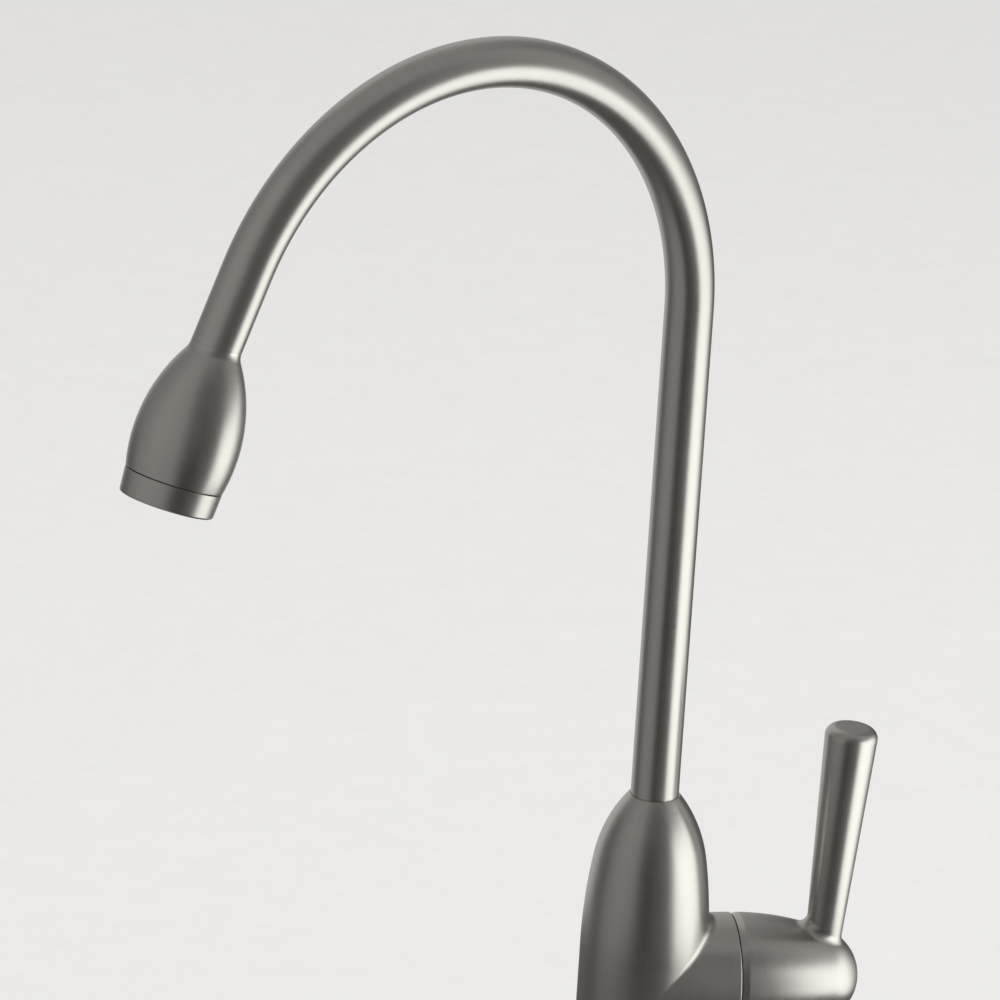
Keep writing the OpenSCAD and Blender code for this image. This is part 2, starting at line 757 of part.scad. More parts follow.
// Outlet bell: hollow, with a socket for the tube and a thread for the ring
module outlet_bell() {
    color(steel) difference() {
        at_outlet() rotate_extrude() bell_outline();
        at_tube_end() {
            translate([0, 0, -2 * past]) cylinder(r = bell_r, h = 2 * past);
            translate([0, 0, -past]) cylinder(r = socket_r, h = socket_len + past);
            cylinder(r = spout_bore_r, h = bell_room_from + past);
        }
        at_outlet() {
            translate([0, 0, bell_room_from]) cylinder(r = bell_room_r, h = bell_len - bell_room_from);
            translate([0, 0, thread_from]) cylinder(r = thread_r + seat_gap, h = thread_depth + past);
        }
    }
}

module aerator_ring() {
    color(steel) at_outlet() difference() {
        union() {
            translate([0, 0, ring_spigot_from]) cylinder(r = thread_r, h = ring_top - ring_spigot_from);
            translate([0, 0, ring_top])
                rotate_extrude() turned(bell_end_r, ring_mouth_d / 2, ring_len, ring_edge);
        }
        translate([0, 0, ring_spigot_from - past])
            cylinder(r = ring_bore_r, h = insert_end - ring_spigot_from + past);
        translate([0, 0, insert_end - past]) cylinder(r = ring_lip_r, h = ring_lip + 2 * past);
    }
}

module aerator_washer() {
    color(rubber) at_outlet() translate([0, 0, thread_from])
        ring(thread_r, aerator_washer_bore_r, aerator_washer_t);
}

module aerator_screen() {
    color(steel) at_outlet() translate([0, 0, screen_from]) difference() {
        cylinder(r = insert_r, h = screen_t);
        translate([0, 0, -past]) spread_holes(screen_hole_r, screen_t + 2 * past);
    }
}

module aerator_insert() {
    color(plastic) at_outlet() translate([0, 0, insert_from]) difference() {
        cylinder(r = insert_r, h = insert_end - insert_from);
        translate([0, 0, -past]) spread_holes(insert_hole_r, insert_end - insert_from + 2 * past);
    }
}

module rubber_washer() {
    color(rubber) translate([0, 0, steel_washer_top])
        bevelled_ring(rubber_washer_d / 2, shank_hole_r, rubber_washer_t, washer_edge);
}

module steel_washer() {
    color(steel) translate([0, 0, nut_top])
        bevelled_ring(steel_washer_d / 2, shank_hole_r, steel_washer_t, washer_edge);
}

// Hexagon nut with its corners bevelled at both faces
module mounting_nut() {
    color(brass) translate([0, 0, nut_top - nut_h]) difference() {
        intersection() {
            cylinder(r = nut_flats / sqrt(3), h = nut_h, $fn = 6);
            rotate_extrude() nut_outline();
        }
        translate([0, 0, -past]) cylinder(r = shank_r + run_gap, h = nut_h + 2 * past);
    }
}

// Outline of the turned bevels of the mounting nut
module nut_outline() {
    corner_r = nut_flats / sqrt(3);
    face_r = nut_flats / 2;
    polygon([
        [0, 0], [face_r, 0], [corner_r, nut_edge], [corner_r, nut_h - nut_edge], [face_r, nut_h], [0, nut_h]
    ]);
}

body_shell();
base_flange();
base_gasket();
threaded_shank();
shank_seal();
inlet_adapter();
inlet_o_ring();
swivel_washer();
cartridge_body();
cartridge_o_ring();
seat_seal();
fixed_disc();
spout_tube();
spout_ferrule();
spout_o_rings();
spout_clip();
outlet_bell();
aerator_ring();
aerator_washer();
aerator_screen();
aerator_insert();
lever_handle();
grub_screw();
valve_spindle();
moving_disc();
spindle_o_ring();
spindle_clip();
rubber_washer();
steel_washer();
mounting_nut();
release_collet();
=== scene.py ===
"""Looks of the drinking water tap: smooth skins with blended fillets, threads, finishes, light and camera."""
import json
import math

import bpy
import numpy as np
from mathutils import Matrix, Vector
from mathutils.geometry import delaunay_2d_cdt


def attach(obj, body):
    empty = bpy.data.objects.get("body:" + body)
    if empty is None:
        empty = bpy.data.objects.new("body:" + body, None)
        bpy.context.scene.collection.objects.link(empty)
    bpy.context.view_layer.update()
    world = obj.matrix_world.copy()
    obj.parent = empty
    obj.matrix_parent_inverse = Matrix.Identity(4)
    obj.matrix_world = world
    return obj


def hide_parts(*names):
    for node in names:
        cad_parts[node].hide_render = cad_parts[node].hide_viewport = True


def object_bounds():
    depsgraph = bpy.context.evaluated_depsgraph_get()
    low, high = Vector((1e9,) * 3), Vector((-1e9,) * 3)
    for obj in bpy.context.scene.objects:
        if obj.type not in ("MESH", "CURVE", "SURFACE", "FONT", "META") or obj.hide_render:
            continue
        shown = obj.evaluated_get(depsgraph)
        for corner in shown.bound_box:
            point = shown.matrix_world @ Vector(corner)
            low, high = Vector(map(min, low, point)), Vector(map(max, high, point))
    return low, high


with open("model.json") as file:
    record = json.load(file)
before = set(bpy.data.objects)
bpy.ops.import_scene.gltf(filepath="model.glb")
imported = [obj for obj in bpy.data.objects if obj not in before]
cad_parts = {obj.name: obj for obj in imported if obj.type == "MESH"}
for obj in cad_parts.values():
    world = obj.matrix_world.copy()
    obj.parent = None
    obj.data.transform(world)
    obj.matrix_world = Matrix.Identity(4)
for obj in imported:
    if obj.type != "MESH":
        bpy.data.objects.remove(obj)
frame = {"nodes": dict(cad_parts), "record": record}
cad_box = [list(corner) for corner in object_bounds()]
nodes = frame["nodes"]
MM = 0.001

# Sizes of the solids, in millimetres, and angles in radians
BODY_R, BODY_FOOT, BODY_TOP = 16.0, 4.0, 100.0
SHOULDER_Z, SHOULDER_LOW_R, SHOULDER_TOP_R = 59.5, 144.0, 35.8
SPOUT_HOLE_R, RIM_R, SPOUT_HOLE_FLOOR = 6.05, 6.35, 66.0
VALVE_Z, BOSS_R, BOSS_REACH, SEAM_EDGE = 50.5, 15.9, 22.5, 0.3
CHAMBER_R, CHAMBER_FLOOR, SHANK_HOLE_R, SHANK_HOLE_TOP = 9.0, 1.0, 6.03, 20.0
BODY_FILLET = 2.2
HUB_FACE, HUB_TIP, HUB_NOSE_R, HUB_BEVEL, HUB_BEVEL_DROP = 22.8, 55.2, 12.2, 1.8, 0.4
# Radius and far end of each step of the hub's room
HUB_ROOMS = [(12.147, 26.4), (6.8, 34.25), (3.63, 44.98)]
GRUB_AT, GRUB_HOLE_R, GRUB_HOLE_TOP = 39.6, 2.03, 4.2
LEVER_X, LEVER_LEAN, LEVER_TOP = 45.3, math.radians(3.2), 67.0
LEVER_FOOT_R, LEVER_TOP_R, LEVER_EDGE, LEVER_FILLET = 4.55, 6.75, 2.6, 2.6
SPOUT_R, SPOUT_BORE_R, TUBE_FOOT, BEND_Z, BEND_R = 6.0, 4.5, 80.0, 226.3, 70.3
BEND_SWEEP, LEG, SPOUT_REST, OUTLET_TILT = math.radians(155.3), 18.6, math.radians(209), math.radians(5.8)
BELL_R, BELL_LEN, BELL_WIDE_AT, BELL_FILLET, BELL_EDGE, NECK_LAP = 12.6, 32.0, 23.2, 4.0, 0.12, 2.5
BELL_THREAD_R, BELL_THREAD_FROM, BELL_ROOM_R, BELL_ROOM_FROM = 10.03, 25.5, 8.0, 14.0
BELL_NECK_R, BELL_NECK_FROM = 5.6, 4.0
RING_TOP, RING_LEN, RING_MOUTH_R, RING_EDGE = 32.25, 5.9, 11.25, 0.6
RING_BORE_R, RING_LIP_R, RING_LIP, RING_SPIGOT_R, RING_SPIGOT_FROM = 8.5, 7.9, 1.0, 10.0, 27.0
FLANGE_R, FLANGE_LOW, FLANGE_TOP, FLANGE_SEAT_R, FLANGE_HOLE_R = 23.0, 1.5, 5.5, 16.03, 6.3
FLANGE_EDGE, FLANGE_LOW_EDGE = 2.2, 0.3
SHANK_R, SHANK_BORE_R, SHANK_END, SHANK_TOP = 6.0, 3.5, -58.0, 19.0
THREAD_LOW, THREAD_PITCH, THREAD_TURNS, THREAD_DEPTH = -50.0, 1.5, 34, 0.85


# Meshes
def unit(v):
    """Vectors at length 1."""
    return v / np.linalg.norm(v, axis=-1, keepdims=True)


def arc(centre, radius, start, end, count):
    """Points and normals of an arc in a profile plane, angles in radians."""
    a = np.linspace(start, end, count)
    n = np.stack([np.cos(a), np.sin(a)], axis=1)
    return np.asarray(centre) + radius * n, n


def line(a, b, count=2):
    """Points and normals of a straight length in a profile plane. The outside lies on its right."""
    a, b = np.asarray(a, float), np.asarray(b, float)
    d = unit(b - a)
    p = a + np.linspace(0, 1, count)[:, None] * (b - a)
    return p, np.tile([d[1], -d[0]], (count, 1))


class Frame:
    """A place for turned pieces: its origin, its axis z, and x and y across the axis."""

    def __init__(self, origin, axis, x_hint):
        self.origin = np.asarray(origin, float)
        self.z = unit(np.asarray(axis, float))
        x = np.asarray(x_hint, float)
        self.x = unit(x - (x @ self.z) * self.z)
        self.y = np.cross(self.z, self.x)

    def direction(self, angle):
        """Directions across the axis at angles from x."""
        return np.cos(angle)[..., None] * self.x + np.sin(angle)[..., None] * self.y

    def point(self, radius, height, angle):
        """Points at a radius, a height along the axis and an angle."""
        return self.origin + radius[..., None] * self.direction(angle) + height[..., None] * self.z

    def normal(self, radial, axial, angle):
        """Directions with a radial and an axial share at an angle."""
        return radial[..., None] * self.direction(angle) + axial[..., None] * self.z

    def measure(self, p):
        """Radius, height and angle of points."""
        d = p - self.origin
        x, y = d @ self.x, d @ self.y
        return np.hypot(x, y), d @ self.z, np.arctan2(y, x)


class Skin:
    """Patches with their own normals and grain coordinates, welded into one mesh."""

    def __init__(self):
        self.points, self.normals, self.grain, self.faces, self.count = [], [], [], [], 0

    def add(self, points, normals, grain, faces):
        """One patch, with faces that count its own points."""
        self.points.append(points.reshape(-1, 3))
        self.normals.append(normals.reshape(-1, 3))
        self.grain.append(grain.reshape(-1, 2))
        self.faces += [[i + self.count for i in f] for f in faces]
        self.count += len(self.points[-1])

    def grid(self, points, normals, grain, flip=False):
        """One patch of quads, with rows along the piece and columns round it."""
        rows, cols = points.shape[:2]
        k = np.arange(rows * cols).reshape(rows, cols)
        quads = np.stack([k[:-1, :-1], k[:-1, 1:], k[1:, 1:], k[1:, :-1]], axis=-1).reshape(-1, 4)
        self.add(points, normals, grain, quads[:, ::-1].tolist() if flip else quads.tolist())

    def turn(self, place, profile, segments=144, start=0.0):
        """Turns profile lengths, each with its own normals, about the place's axis."""
        a = start + np.linspace(0, 2 * math.pi, segments + 1)
        run = 0.0
        for p, n in profile:
            steps = np.concatenate([[0], np.cumsum(np.linalg.norm(np.diff(p, axis=0), axis=1))])
            ones = np.ones((len(p), len(a)))
            points = place.point(p[:, :1] * ones, p[:, 1:] * ones, a * ones)
            normals = place.normal(n[:, :1] * ones, n[:, 1:] * ones, a * ones)
            grain = np.stack([(run + steps)[:, None] * ones, a * ones * max(p[:, 0].mean(), 1)], axis=-1)
            self.grid(points, normals, grain)
            run += steps[-1]

    def build(self, name, body, material, replaced):
        """Welds the patches and puts the mesh on its body in place of the named solid."""
        points, normals = np.concatenate(self.points), np.concatenate(self.normals)
        grain = np.concatenate(self.grain)
        _, first, weld = np.unique(np.round(points, 5) + 0.0, axis=0, return_index=True, return_inverse=True)
        weld = weld.reshape(-1)
        faces, loops = [], []
        for f in self.faces:
            corners = [i for k, i in enumerate(f) if weld[i] != weld[f[k - 1]]]
            if len(corners) > 2:
                faces.append([int(weld[i]) for i in corners])
                loops += corners
        mesh = bpy.data.meshes.new(name)
        mesh.from_pydata((points[first] * MM).tolist(), [], faces)
        uv = mesh.uv_layers.new(name="grain")
        uv.data.foreach_set("uv", (grain[loops] * MM).astype(np.float32).ravel())
        mesh.normals_split_custom_set(unit(normals[loops]).tolist())
        mesh.materials.append(material)
        obj = bpy.data.objects.new(name, mesh)
        bpy.context.scene.collection.objects.link(obj)
        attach(obj, body)
        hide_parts(*replaced)


def solve(f, low, high, count):
    """Roots of a growing function, one for each of count columns, by halving."""
    a, b = np.full(count, float(low)), np.full(count, float(high))
    for _ in range(60):
        m = (a + b) / 2
        over = f(m) > 0
        a, b = np.where(over, a, m), np.where(over, m, b)
    return (a + b) / 2


def between(n0, n1, steps):
    """Directions turning evenly from n0 to n1."""
    angle = np.arccos(np.clip((n0 * n1).sum(-1), -1, 1))[None, :, None]
    t = np.linspace(0, 1, steps)[:, None, None]
    return unit((np.sin((1 - t) * angle) * n0 + np.sin(t * angle) * n1) / np.maximum(np.sin(angle), 1e-9))


def inside(points, loop):
    """True for 2-D points within a closed loop."""
    x, y = points[:, 0], points[:, 1]
    hit = np.zeros(len(points), bool)
    for (x0, y0), (x1, y1) in zip(loop, np.roll(loop, -1, axis=0)):
        if y0 != y1:
            cross = x0 + (y - y0) * (x1 - x0) / (y1 - y0)
            hit ^= ((y0 > y) != (y1 > y)) & (x < cross)
    return hit


def holed_sheet(across, along, loops, clear):
    """Triangles of a flat grid with holes, without grid points in a hole or within clear of its edge."""
    grid = np.stack(np.meshgrid(across, along), axis=-1).reshape(-1, 2)
    for loop in loops:
        near = np.min(np.linalg.norm(grid[:, None, :] - loop[None, :, :], axis=-1), axis=1) < clear
        grid = grid[~(near | inside(grid, loop))]
    points, edges, start = [grid], [], len(grid)
    for loop in loops:
        k = np.arange(len(loop))
        edges += [(start + int(i), start + int(j)) for i, j in zip(k, np.roll(k, -1))]
        points.append(loop)
        start += len(loop)
    points = np.concatenate(points)
    made = delaunay_2d_cdt([Vector(p) for p in points.tolist()], edges, [], 0, 1e-6)
    source = np.array([ids[0] for ids in made[3]])
    tris = source[np.array(made[2])]
    middle = points[tris].mean(axis=1)
    keep = np.ones(len(tris), bool)
    for loop in loops:
        keep &= ~inside(middle, loop)
    return points, tris[keep]


# Body with its side boss
UP = Frame((0, 0, 0), (0, 0, 1), (1, 0, 0))
VALVE = Frame((0, 0, VALVE_Z), (1, 0, 0), (0, 1, 0))
arc_step = SHOULDER_LOW_R - SHOULDER_TOP_R
rim_from = np.array([RIM_R - BODY_R + SHOULDER_LOW_R, BODY_TOP - SHOULDER_Z])
rim_reach = np.linalg.norm(rim_from)
rim_cos = (rim_reach ** 2 + arc_step ** 2 - SHOULDER_TOP_R ** 2) / (2 * rim_reach * arc_step)
SHOULDER_JOIN = math.atan2(rim_from[1], rim_from[0]) - math.acos(rim_cos)
LOW_CENTRE = np.array([BODY_R - SHOULDER_LOW_R, SHOULDER_Z])
TOP_CENTRE = LOW_CENTRE + arc_step * np.array([math.cos(SHOULDER_JOIN), math.sin(SHOULDER_JOIN)])
RIM_ANGLE = math.atan2(BODY_TOP - TOP_CENTRE[1], RIM_R - TOP_CENTRE[0])
LOW_RUN = SHOULDER_LOW_R * SHOULDER_JOIN
TOP_RUN = SHOULDER_TOP_R * (RIM_ANGLE - SHOULDER_JOIN)


def body_gap(radius, z):
    """Distance from the body's skin, and the normal's radial and upward share."""
    v_low = np.stack([radius, z], axis=-1) - LOW_CENTRE
    v_top = np.stack([radius, z], axis=-1) - TOP_CENTRE
    angle = np.arctan2(v_low[..., 1], v_low[..., 0])
    straight, low = z <= SHOULDER_Z, angle <= SHOULDER_JOIN
    d_low, d_top = np.linalg.norm(v_low, axis=-1), np.linalg.norm(v_top, axis=-1)
    gap = np.where(straight, radius - BODY_R, np.where(low, d_low - SHOULDER_LOW_R, d_top - SHOULDER_TOP_R))
    n = np.where(low[..., None], v_low / d_low[..., None], v_top / d_top[..., None])
    n = np.where(straight[..., None], np.array([1.0, 0.0]), n)
    return gap, n[..., 0], n[..., 1]


def body_run(z):
    """Length along the body's outline from its foot, for points on the skin at height z."""
    low = SHOULDER_Z + SHOULDER_LOW_R * math.sin(SHOULDER_JOIN)
    run_low = SHOULDER_LOW_R * np.arcsin(np.clip((z - LOW_CENTRE[1]) / SHOULDER_LOW_R, -1, 1))
    a_top = np.arcsin(np.clip((z - TOP_CENTRE[1]) / SHOULDER_TOP_R, -1, 1))
    run_top = LOW_RUN + SHOULDER_TOP_R * (a_top - SHOULDER_JOIN)
    run_past = np.where(z <= low, run_low, run_top)
    return np.where(z <= SHOULDER_Z, z - BODY_FOOT, SHOULDER_Z - BODY_FOOT + run_past)


def body_outline(run):
    """Radius, height and normal of the body's outline at a length from its foot."""
    past = run - (SHOULDER_Z - BODY_FOOT)
    a_low = np.clip(past / SHOULDER_LOW_R, 0, SHOULDER_JOIN)
    a_top = SHOULDER_JOIN + np.clip(past - LOW_RUN, 0, None) / SHOULDER_TOP_R
    top = past > LOW_RUN
    a = np.where(top, a_top, a_low)
    radius = np.where(top, TOP_CENTRE[0] + SHOULDER_TOP_R * np.cos(a),
                      LOW_CENTRE[0] + SHOULDER_LOW_R * np.cos(a))
    z = np.where(top, TOP_CENTRE[1] + SHOULDER_TOP_R * np.sin(a),
                 LOW_CENTRE[1] + SHOULDER_LOW_R * np.sin(a))
    z = np.where(past <= 0, BODY_FOOT + run, z)
    return radius, z, np.cos(a), np.sin(a)


def build_body(material):
    """Body with its boss, blended where a ball rolls round between the two."""
    skin = Skin()
    turns, steps, boss_rows = 192, 9, 12
    segments, rows, clear = 180, 110, 0.3
    phi = np.linspace(0, 2 * math.pi, turns + 1)
    reach = BOSS_R + BODY_FILLET
    y, z = reach * np.cos(phi), VALVE_Z + reach * np.sin(phi)
    x = solve(lambda t: body_gap(np.hypot(t, y), z)[0] - BODY_FILLET, 0, 40, turns + 1)
    centre = np.stack([x, y, z], axis=-1)
    radius, _, theta = UP.measure(centre)
    _, n_r, n_z = body_gap(radius, z)
    on_body, on_boss = UP.normal(n_r, n_z, theta), VALVE.direction(phi)
    n = between(on_body, on_boss, steps)
    blend = centre[None] - BODY_FILLET * n
    grain = np.stack(np.broadcast_arrays(blend[..., 0], phi * BOSS_R), axis=-1)
    skin.grid(blend, n, grain)
    # Boss from the blend to its rounded edge, its face and the valve chamber
    t = np.linspace(0, 1, boss_rows)[:, None]
    along = x + t * (BOSS_REACH - SEAM_EDGE - x)
    ones = np.ones_like(along)
    skin.grid(VALVE.point(BOSS_R * ones, along, phi * ones), VALVE.normal(ones, 0 * ones, phi * ones),
              np.stack([along, phi * ones * BOSS_R], axis=-1))
    skin.turn(VALVE, [
        arc((BOSS_R - SEAM_EDGE, BOSS_REACH - SEAM_EDGE), SEAM_EDGE, 0, math.pi / 2, 6),
        line((BOSS_R - SEAM_EDGE, BOSS_REACH), (CHAMBER_R, BOSS_REACH)),
        line((CHAMBER_R, BOSS_REACH), (CHAMBER_R, CHAMBER_FLOOR)),
        line((CHAMBER_R, CHAMBER_FLOOR), (0, CHAMBER_FLOOR)),
    ], turns)
    # Body skin with the hole where the boss leaves it
    foot = blend[0, :-1]
    _, foot_z, foot_angle = UP.measure(foot)
    loop = np.stack([foot_angle * BODY_R, body_run(foot_z)], axis=-1)
    across = np.linspace(-math.pi, math.pi, segments + 1) * BODY_R
    length = SHOULDER_Z - BODY_FOOT + LOW_RUN + TOP_RUN
    flat, tris = holed_sheet(across, np.linspace(0, length, rows), [loop], clear)
    radius, z, n_r, n_z = body_outline(flat[:, 1])
    angle = flat[:, 0] / BODY_R
    points = UP.point(radius, z, angle)
    points[-len(loop):] = foot
    skin.add(points, UP.normal(n_r, n_z, angle), flat[:, ::-1], tris.tolist())
    # Rim, spout hole, and the foot with the hole for the shank
    skin.turn(UP, [
        line((RIM_R, BODY_TOP), (SPOUT_HOLE_R, BODY_TOP)),
        line((SPOUT_HOLE_R, BODY_TOP), (SPOUT_HOLE_R, SPOUT_HOLE_FLOOR)),
        line((SPOUT_HOLE_R, SPOUT_HOLE_FLOOR), (0, SPOUT_HOLE_FLOOR)),
    ], segments, -math.pi)
    skin.turn(UP, [
        line((0, SHANK_HOLE_TOP), (SHANK_HOLE_R, SHANK_HOLE_TOP)),
        line((SHANK_HOLE_R, SHANK_HOLE_TOP), (SHANK_HOLE_R, BODY_FOOT)),
        line((SHANK_HOLE_R, BODY_FOOT), (BODY_R, BODY_FOOT)),
    ], segments, -math.pi)
    skin.build("body_skin", "body", material, ["body_shell"])


# Handle: hub and lever
NOSE_X = HUB_TIP - HUB_NOSE_R
nose_from_face = NOSE_X - HUB_FACE
HUB_SIDE_R = (nose_from_face ** 2 / (BOSS_R - HUB_NOSE_R) + BOSS_R + HUB_NOSE_R) / 2
HUB_SIDE_CENTRE = np.array([BOSS_R - HUB_SIDE_R, HUB_FACE])
HUB_JOIN = math.atan2(nose_from_face, -HUB_SIDE_CENTRE[0])
HUB_SIDE_RUN = HUB_SIDE_R * HUB_JOIN


def hub_gap(radius, x):
    """Distance from the hub's skin, and the normal's radial and axial share."""
    v_side = np.stack([radius, x], axis=-1) - HUB_SIDE_CENTRE
    v_nose = np.stack([radius, x - NOSE_X], axis=-1)
    side = np.arctan2(v_side[..., 1], v_side[..., 0]) <= HUB_JOIN
    d_side, d_nose = np.linalg.norm(v_side, axis=-1), np.linalg.norm(v_nose, axis=-1)
    n = np.where(side[..., None], v_side / d_side[..., None], v_nose / d_nose[..., None])
    return np.where(side, d_side - HUB_SIDE_R, d_nose - HUB_NOSE_R), n[..., 0], n[..., 1]


def hub_run(radius, x):
    """Length along the hub's outline from its face, for points on the skin."""
    a_side = np.arctan2(x - HUB_FACE, radius - HUB_SIDE_CENTRE[0])
    a_nose = np.arctan2(x - NOSE_X, radius)
    return np.where(a_side <= HUB_JOIN, HUB_SIDE_R * a_side, HUB_SIDE_RUN + HUB_NOSE_R * (a_nose - HUB_JOIN))


def hub_outline(run):
    """Radius, place and normal of the hub's outline at a length from its face."""
    nose = run > HUB_SIDE_RUN
    a = np.where(nose, HUB_JOIN + (run - HUB_SIDE_RUN) / HUB_NOSE_R, run / HUB_SIDE_R)
    radius = np.where(nose, HUB_NOSE_R * np.cos(a), HUB_SIDE_CENTRE[0] + HUB_SIDE_R * np.cos(a))
    x = np.where(nose, NOSE_X + HUB_NOSE_R * np.sin(a), HUB_FACE + HUB_SIDE_R * np.sin(a))
    return np.maximum(radius, 0), x, np.cos(a), np.sin(a)


def build_handle(material):
    """Hub and lever, blended where a ball rolls round the foot of the lever."""
    skin = Skin()
    turns, steps, stem_rows, hole_turns = 120, 10, 40, 48
    segments, rows, clear = 168, 64, 0.25
    blend_run = 6.0
    stem = Frame((LEVER_X, 0, VALVE_Z), (math.sin(LEVER_LEAN), 0, math.cos(LEVER_LEAN)), (1, 0, 0))
    # Height of the hub's side under the lever
    foot_h = HUB_SIDE_CENTRE[0] + math.sqrt(HUB_SIDE_R ** 2 - (LEVER_X - HUB_FACE) ** 2)
    flare = (LEVER_TOP_R - LEVER_FOOT_R) / (LEVER_TOP - foot_h)
    lean = math.atan(flare)
    psi = np.linspace(0, 2 * math.pi, turns + 1)
    ones = np.ones(turns + 1)
    on_stem = stem.normal(math.cos(lean) * ones, -math.sin(lean) * ones, psi)

    def ball(h):
        return stem.point(LEVER_FOOT_R + flare * (h - foot_h), h, psi) + LEVER_FILLET * on_stem

    def off_hub(h):
        radius, x, _ = VALVE.measure(ball(h))
        return hub_gap(radius, x)[0] - LEVER_FILLET

    h = solve(off_hub, foot_h - 8, foot_h + 12, turns + 1)
    centre = ball(h)
    radius, x, phi = VALVE.measure(centre)
    _, n_r, n_x = hub_gap(radius, x)
    on_hub = VALVE.normal(n_r, n_x, phi)
    n = between(on_hub, on_stem, steps)
    blend = centre[None] - LEVER_FILLET * n
    heights = np.linspace(-blend_run, 0, steps)[:, None] + h[None]
    skin.grid(blend, n, np.stack([heights, psi * LEVER_FOOT_R * np.ones_like(heights)], axis=-1))
    # Stem up to its rounded top
    edge_low = LEVER_TOP - LEVER_EDGE * (1 + math.sin(lean))
    edge_r = LEVER_FOOT_R + flare * (edge_low - foot_h)
    top_centre = (edge_r - LEVER_EDGE * math.cos(lean), LEVER_TOP - LEVER_EDGE)
    t = np.linspace(0, 1, stem_rows)[:, None]
    height = h[None] + t * (edge_low - h[None])
    wide = LEVER_FOOT_R + flare * (height - foot_h)
    skin.grid(stem.point(wide, height, psi * np.ones_like(height)),
              np.broadcast_to(on_stem[None], height.shape + (3,)),
              np.stack([height, psi * LEVER_FOOT_R * np.ones_like(height)], axis=-1))
    skin.turn(stem, [
        arc(top_centre, LEVER_EDGE, -lean, math.pi / 2, 12),
        line((top_centre[0], LEVER_TOP), (0, LEVER_TOP), 6),
    ], turns)
    # Hub skin with the holes of the lever and of the grub screw
    foot_r, foot_x, foot_phi = VALVE.measure(blend[0, :-1])
    lever_loop = np.stack([np.mod(foot_phi, 2 * math.pi) * BOSS_R, hub_run(foot_r, foot_x)], axis=-1)
    alpha = np.linspace(0, 2 * math.pi, hole_turns + 1)[:-1]
    hole_x, hole_y = GRUB_AT + GRUB_HOLE_R * np.cos(alpha), GRUB_HOLE_R * np.sin(alpha)
    outline_r = solve(lambda r: hub_gap(r, hole_x)[0], 1, 20, len(alpha))
    hole_z = -np.sqrt(outline_r ** 2 - hole_y ** 2)
    hole = np.stack([hole_x, hole_y, VALVE_Z + hole_z], axis=-1)
    hole_phi = np.mod(np.arctan2(hole_z, hole_y), 2 * math.pi)
    hole_loop = np.stack([hole_phi * BOSS_R, hub_run(outline_r, hole_x)], axis=-1)
    across = np.linspace(0, 2 * math.pi, segments + 1) * BOSS_R

    def on_bevel(s):
        return BOSS_R - HUB_BEVEL_DROP * (1 - s), HUB_FACE + HUB_BEVEL * s

    bevel_end = on_bevel(solve(lambda s: hub_gap(*on_bevel(s))[0], 0, 1, 1))
    first = hub_run(*bevel_end)[0]
    length = HUB_SIDE_RUN + HUB_NOSE_R * (math.pi / 2 - HUB_JOIN)
    flat, tris = holed_sheet(across, np.linspace(first, length, rows), [lever_loop, hole_loop], clear)
    radius, x, n_r, n_x = hub_outline(flat[:, 1])
    angle = flat[:, 0] / BOSS_R
    points = VALVE.point(radius, x, angle)
    points[-len(alpha) - turns:-len(alpha)] = blend[0, :-1]
    points[-len(alpha):] = hole
    skin.add(points, VALVE.normal(n_r, n_x, angle), flat[:, ::-1], tris.tolist())
    # Stepped room for the headwork, face, and the bevel at the seam
    face_edge = (BOSS_R - HUB_BEVEL_DROP, HUB_FACE)
    inner = []
    at_x = HUB_FACE
    for k, (r, end) in enumerate(HUB_ROOMS):
        next_r = HUB_ROOMS[k + 1][0] if k + 1 < len(HUB_ROOMS) else 0.0
        inner = [line((next_r, end), (r, end)), line((r, end), (r, at_x))] + inner
        at_x = end
    skin.turn(VALVE, inner + [
        line((HUB_ROOMS[0][0], HUB_FACE), face_edge),
        line(face_edge, (bevel_end[0][0], bevel_end[1][0]), 4),
    ], segments)
    # Wall of the grub screw's hole
    down = Frame((GRUB_AT, 0, VALVE_Z), (0, 0, 1), (1, 0, 0))
    ring = np.concatenate([hole, hole[:1]])
    a = np.concatenate([alpha, [2 * math.pi]])
    top = down.point(np.full(len(a), GRUB_HOLE_R), np.full(len(a), -GRUB_HOLE_TOP), a)
    wall = np.stack([ring, top])
    inward = -down.direction(a)
    grain = np.stack([wall[..., 2], a * np.full(wall.shape[:2], GRUB_HOLE_R)], axis=-1)
    skin.grid(wall, np.stack([inward, inward]), grain, flip=True)
    cap = np.stack([top, np.broadcast_to(down.origin - GRUB_HOLE_TOP * down.z, top.shape)])
    skin.grid(cap, np.broadcast_to(-down.z, cap.shape), grain, flip=True)
    skin.build("handle_skin", "lever", material, ["lever_handle"])


# Spout
OUT = np.array([math.cos(SPOUT_REST), math.sin(SPOUT_REST), 0.0])
Z = np.array([0.0, 0.0, 1.0])


def along_spout(angle):
    """Point, direction and in-plane normal of the tube's axis at an angle round the bend."""
    c, s = np.cos(angle)[..., None], np.sin(angle)[..., None]
    return OUT * BEND_R * (1 - c) + Z * (BEND_Z + BEND_R * s), OUT * s + Z * c, OUT * c - Z * s


end_point, end_dir, end_side = (v[0] for v in along_spout(np.array([BEND_SWEEP])))
TUBE_END = Frame(end_point + LEG * end_dir, end_dir, end_side)
outlet_dir = math.cos(OUTLET_TILT) * end_dir + math.sin(OUTLET_TILT) * end_side
OUTLET = Frame(TUBE_END.origin, outlet_dir, end_side)


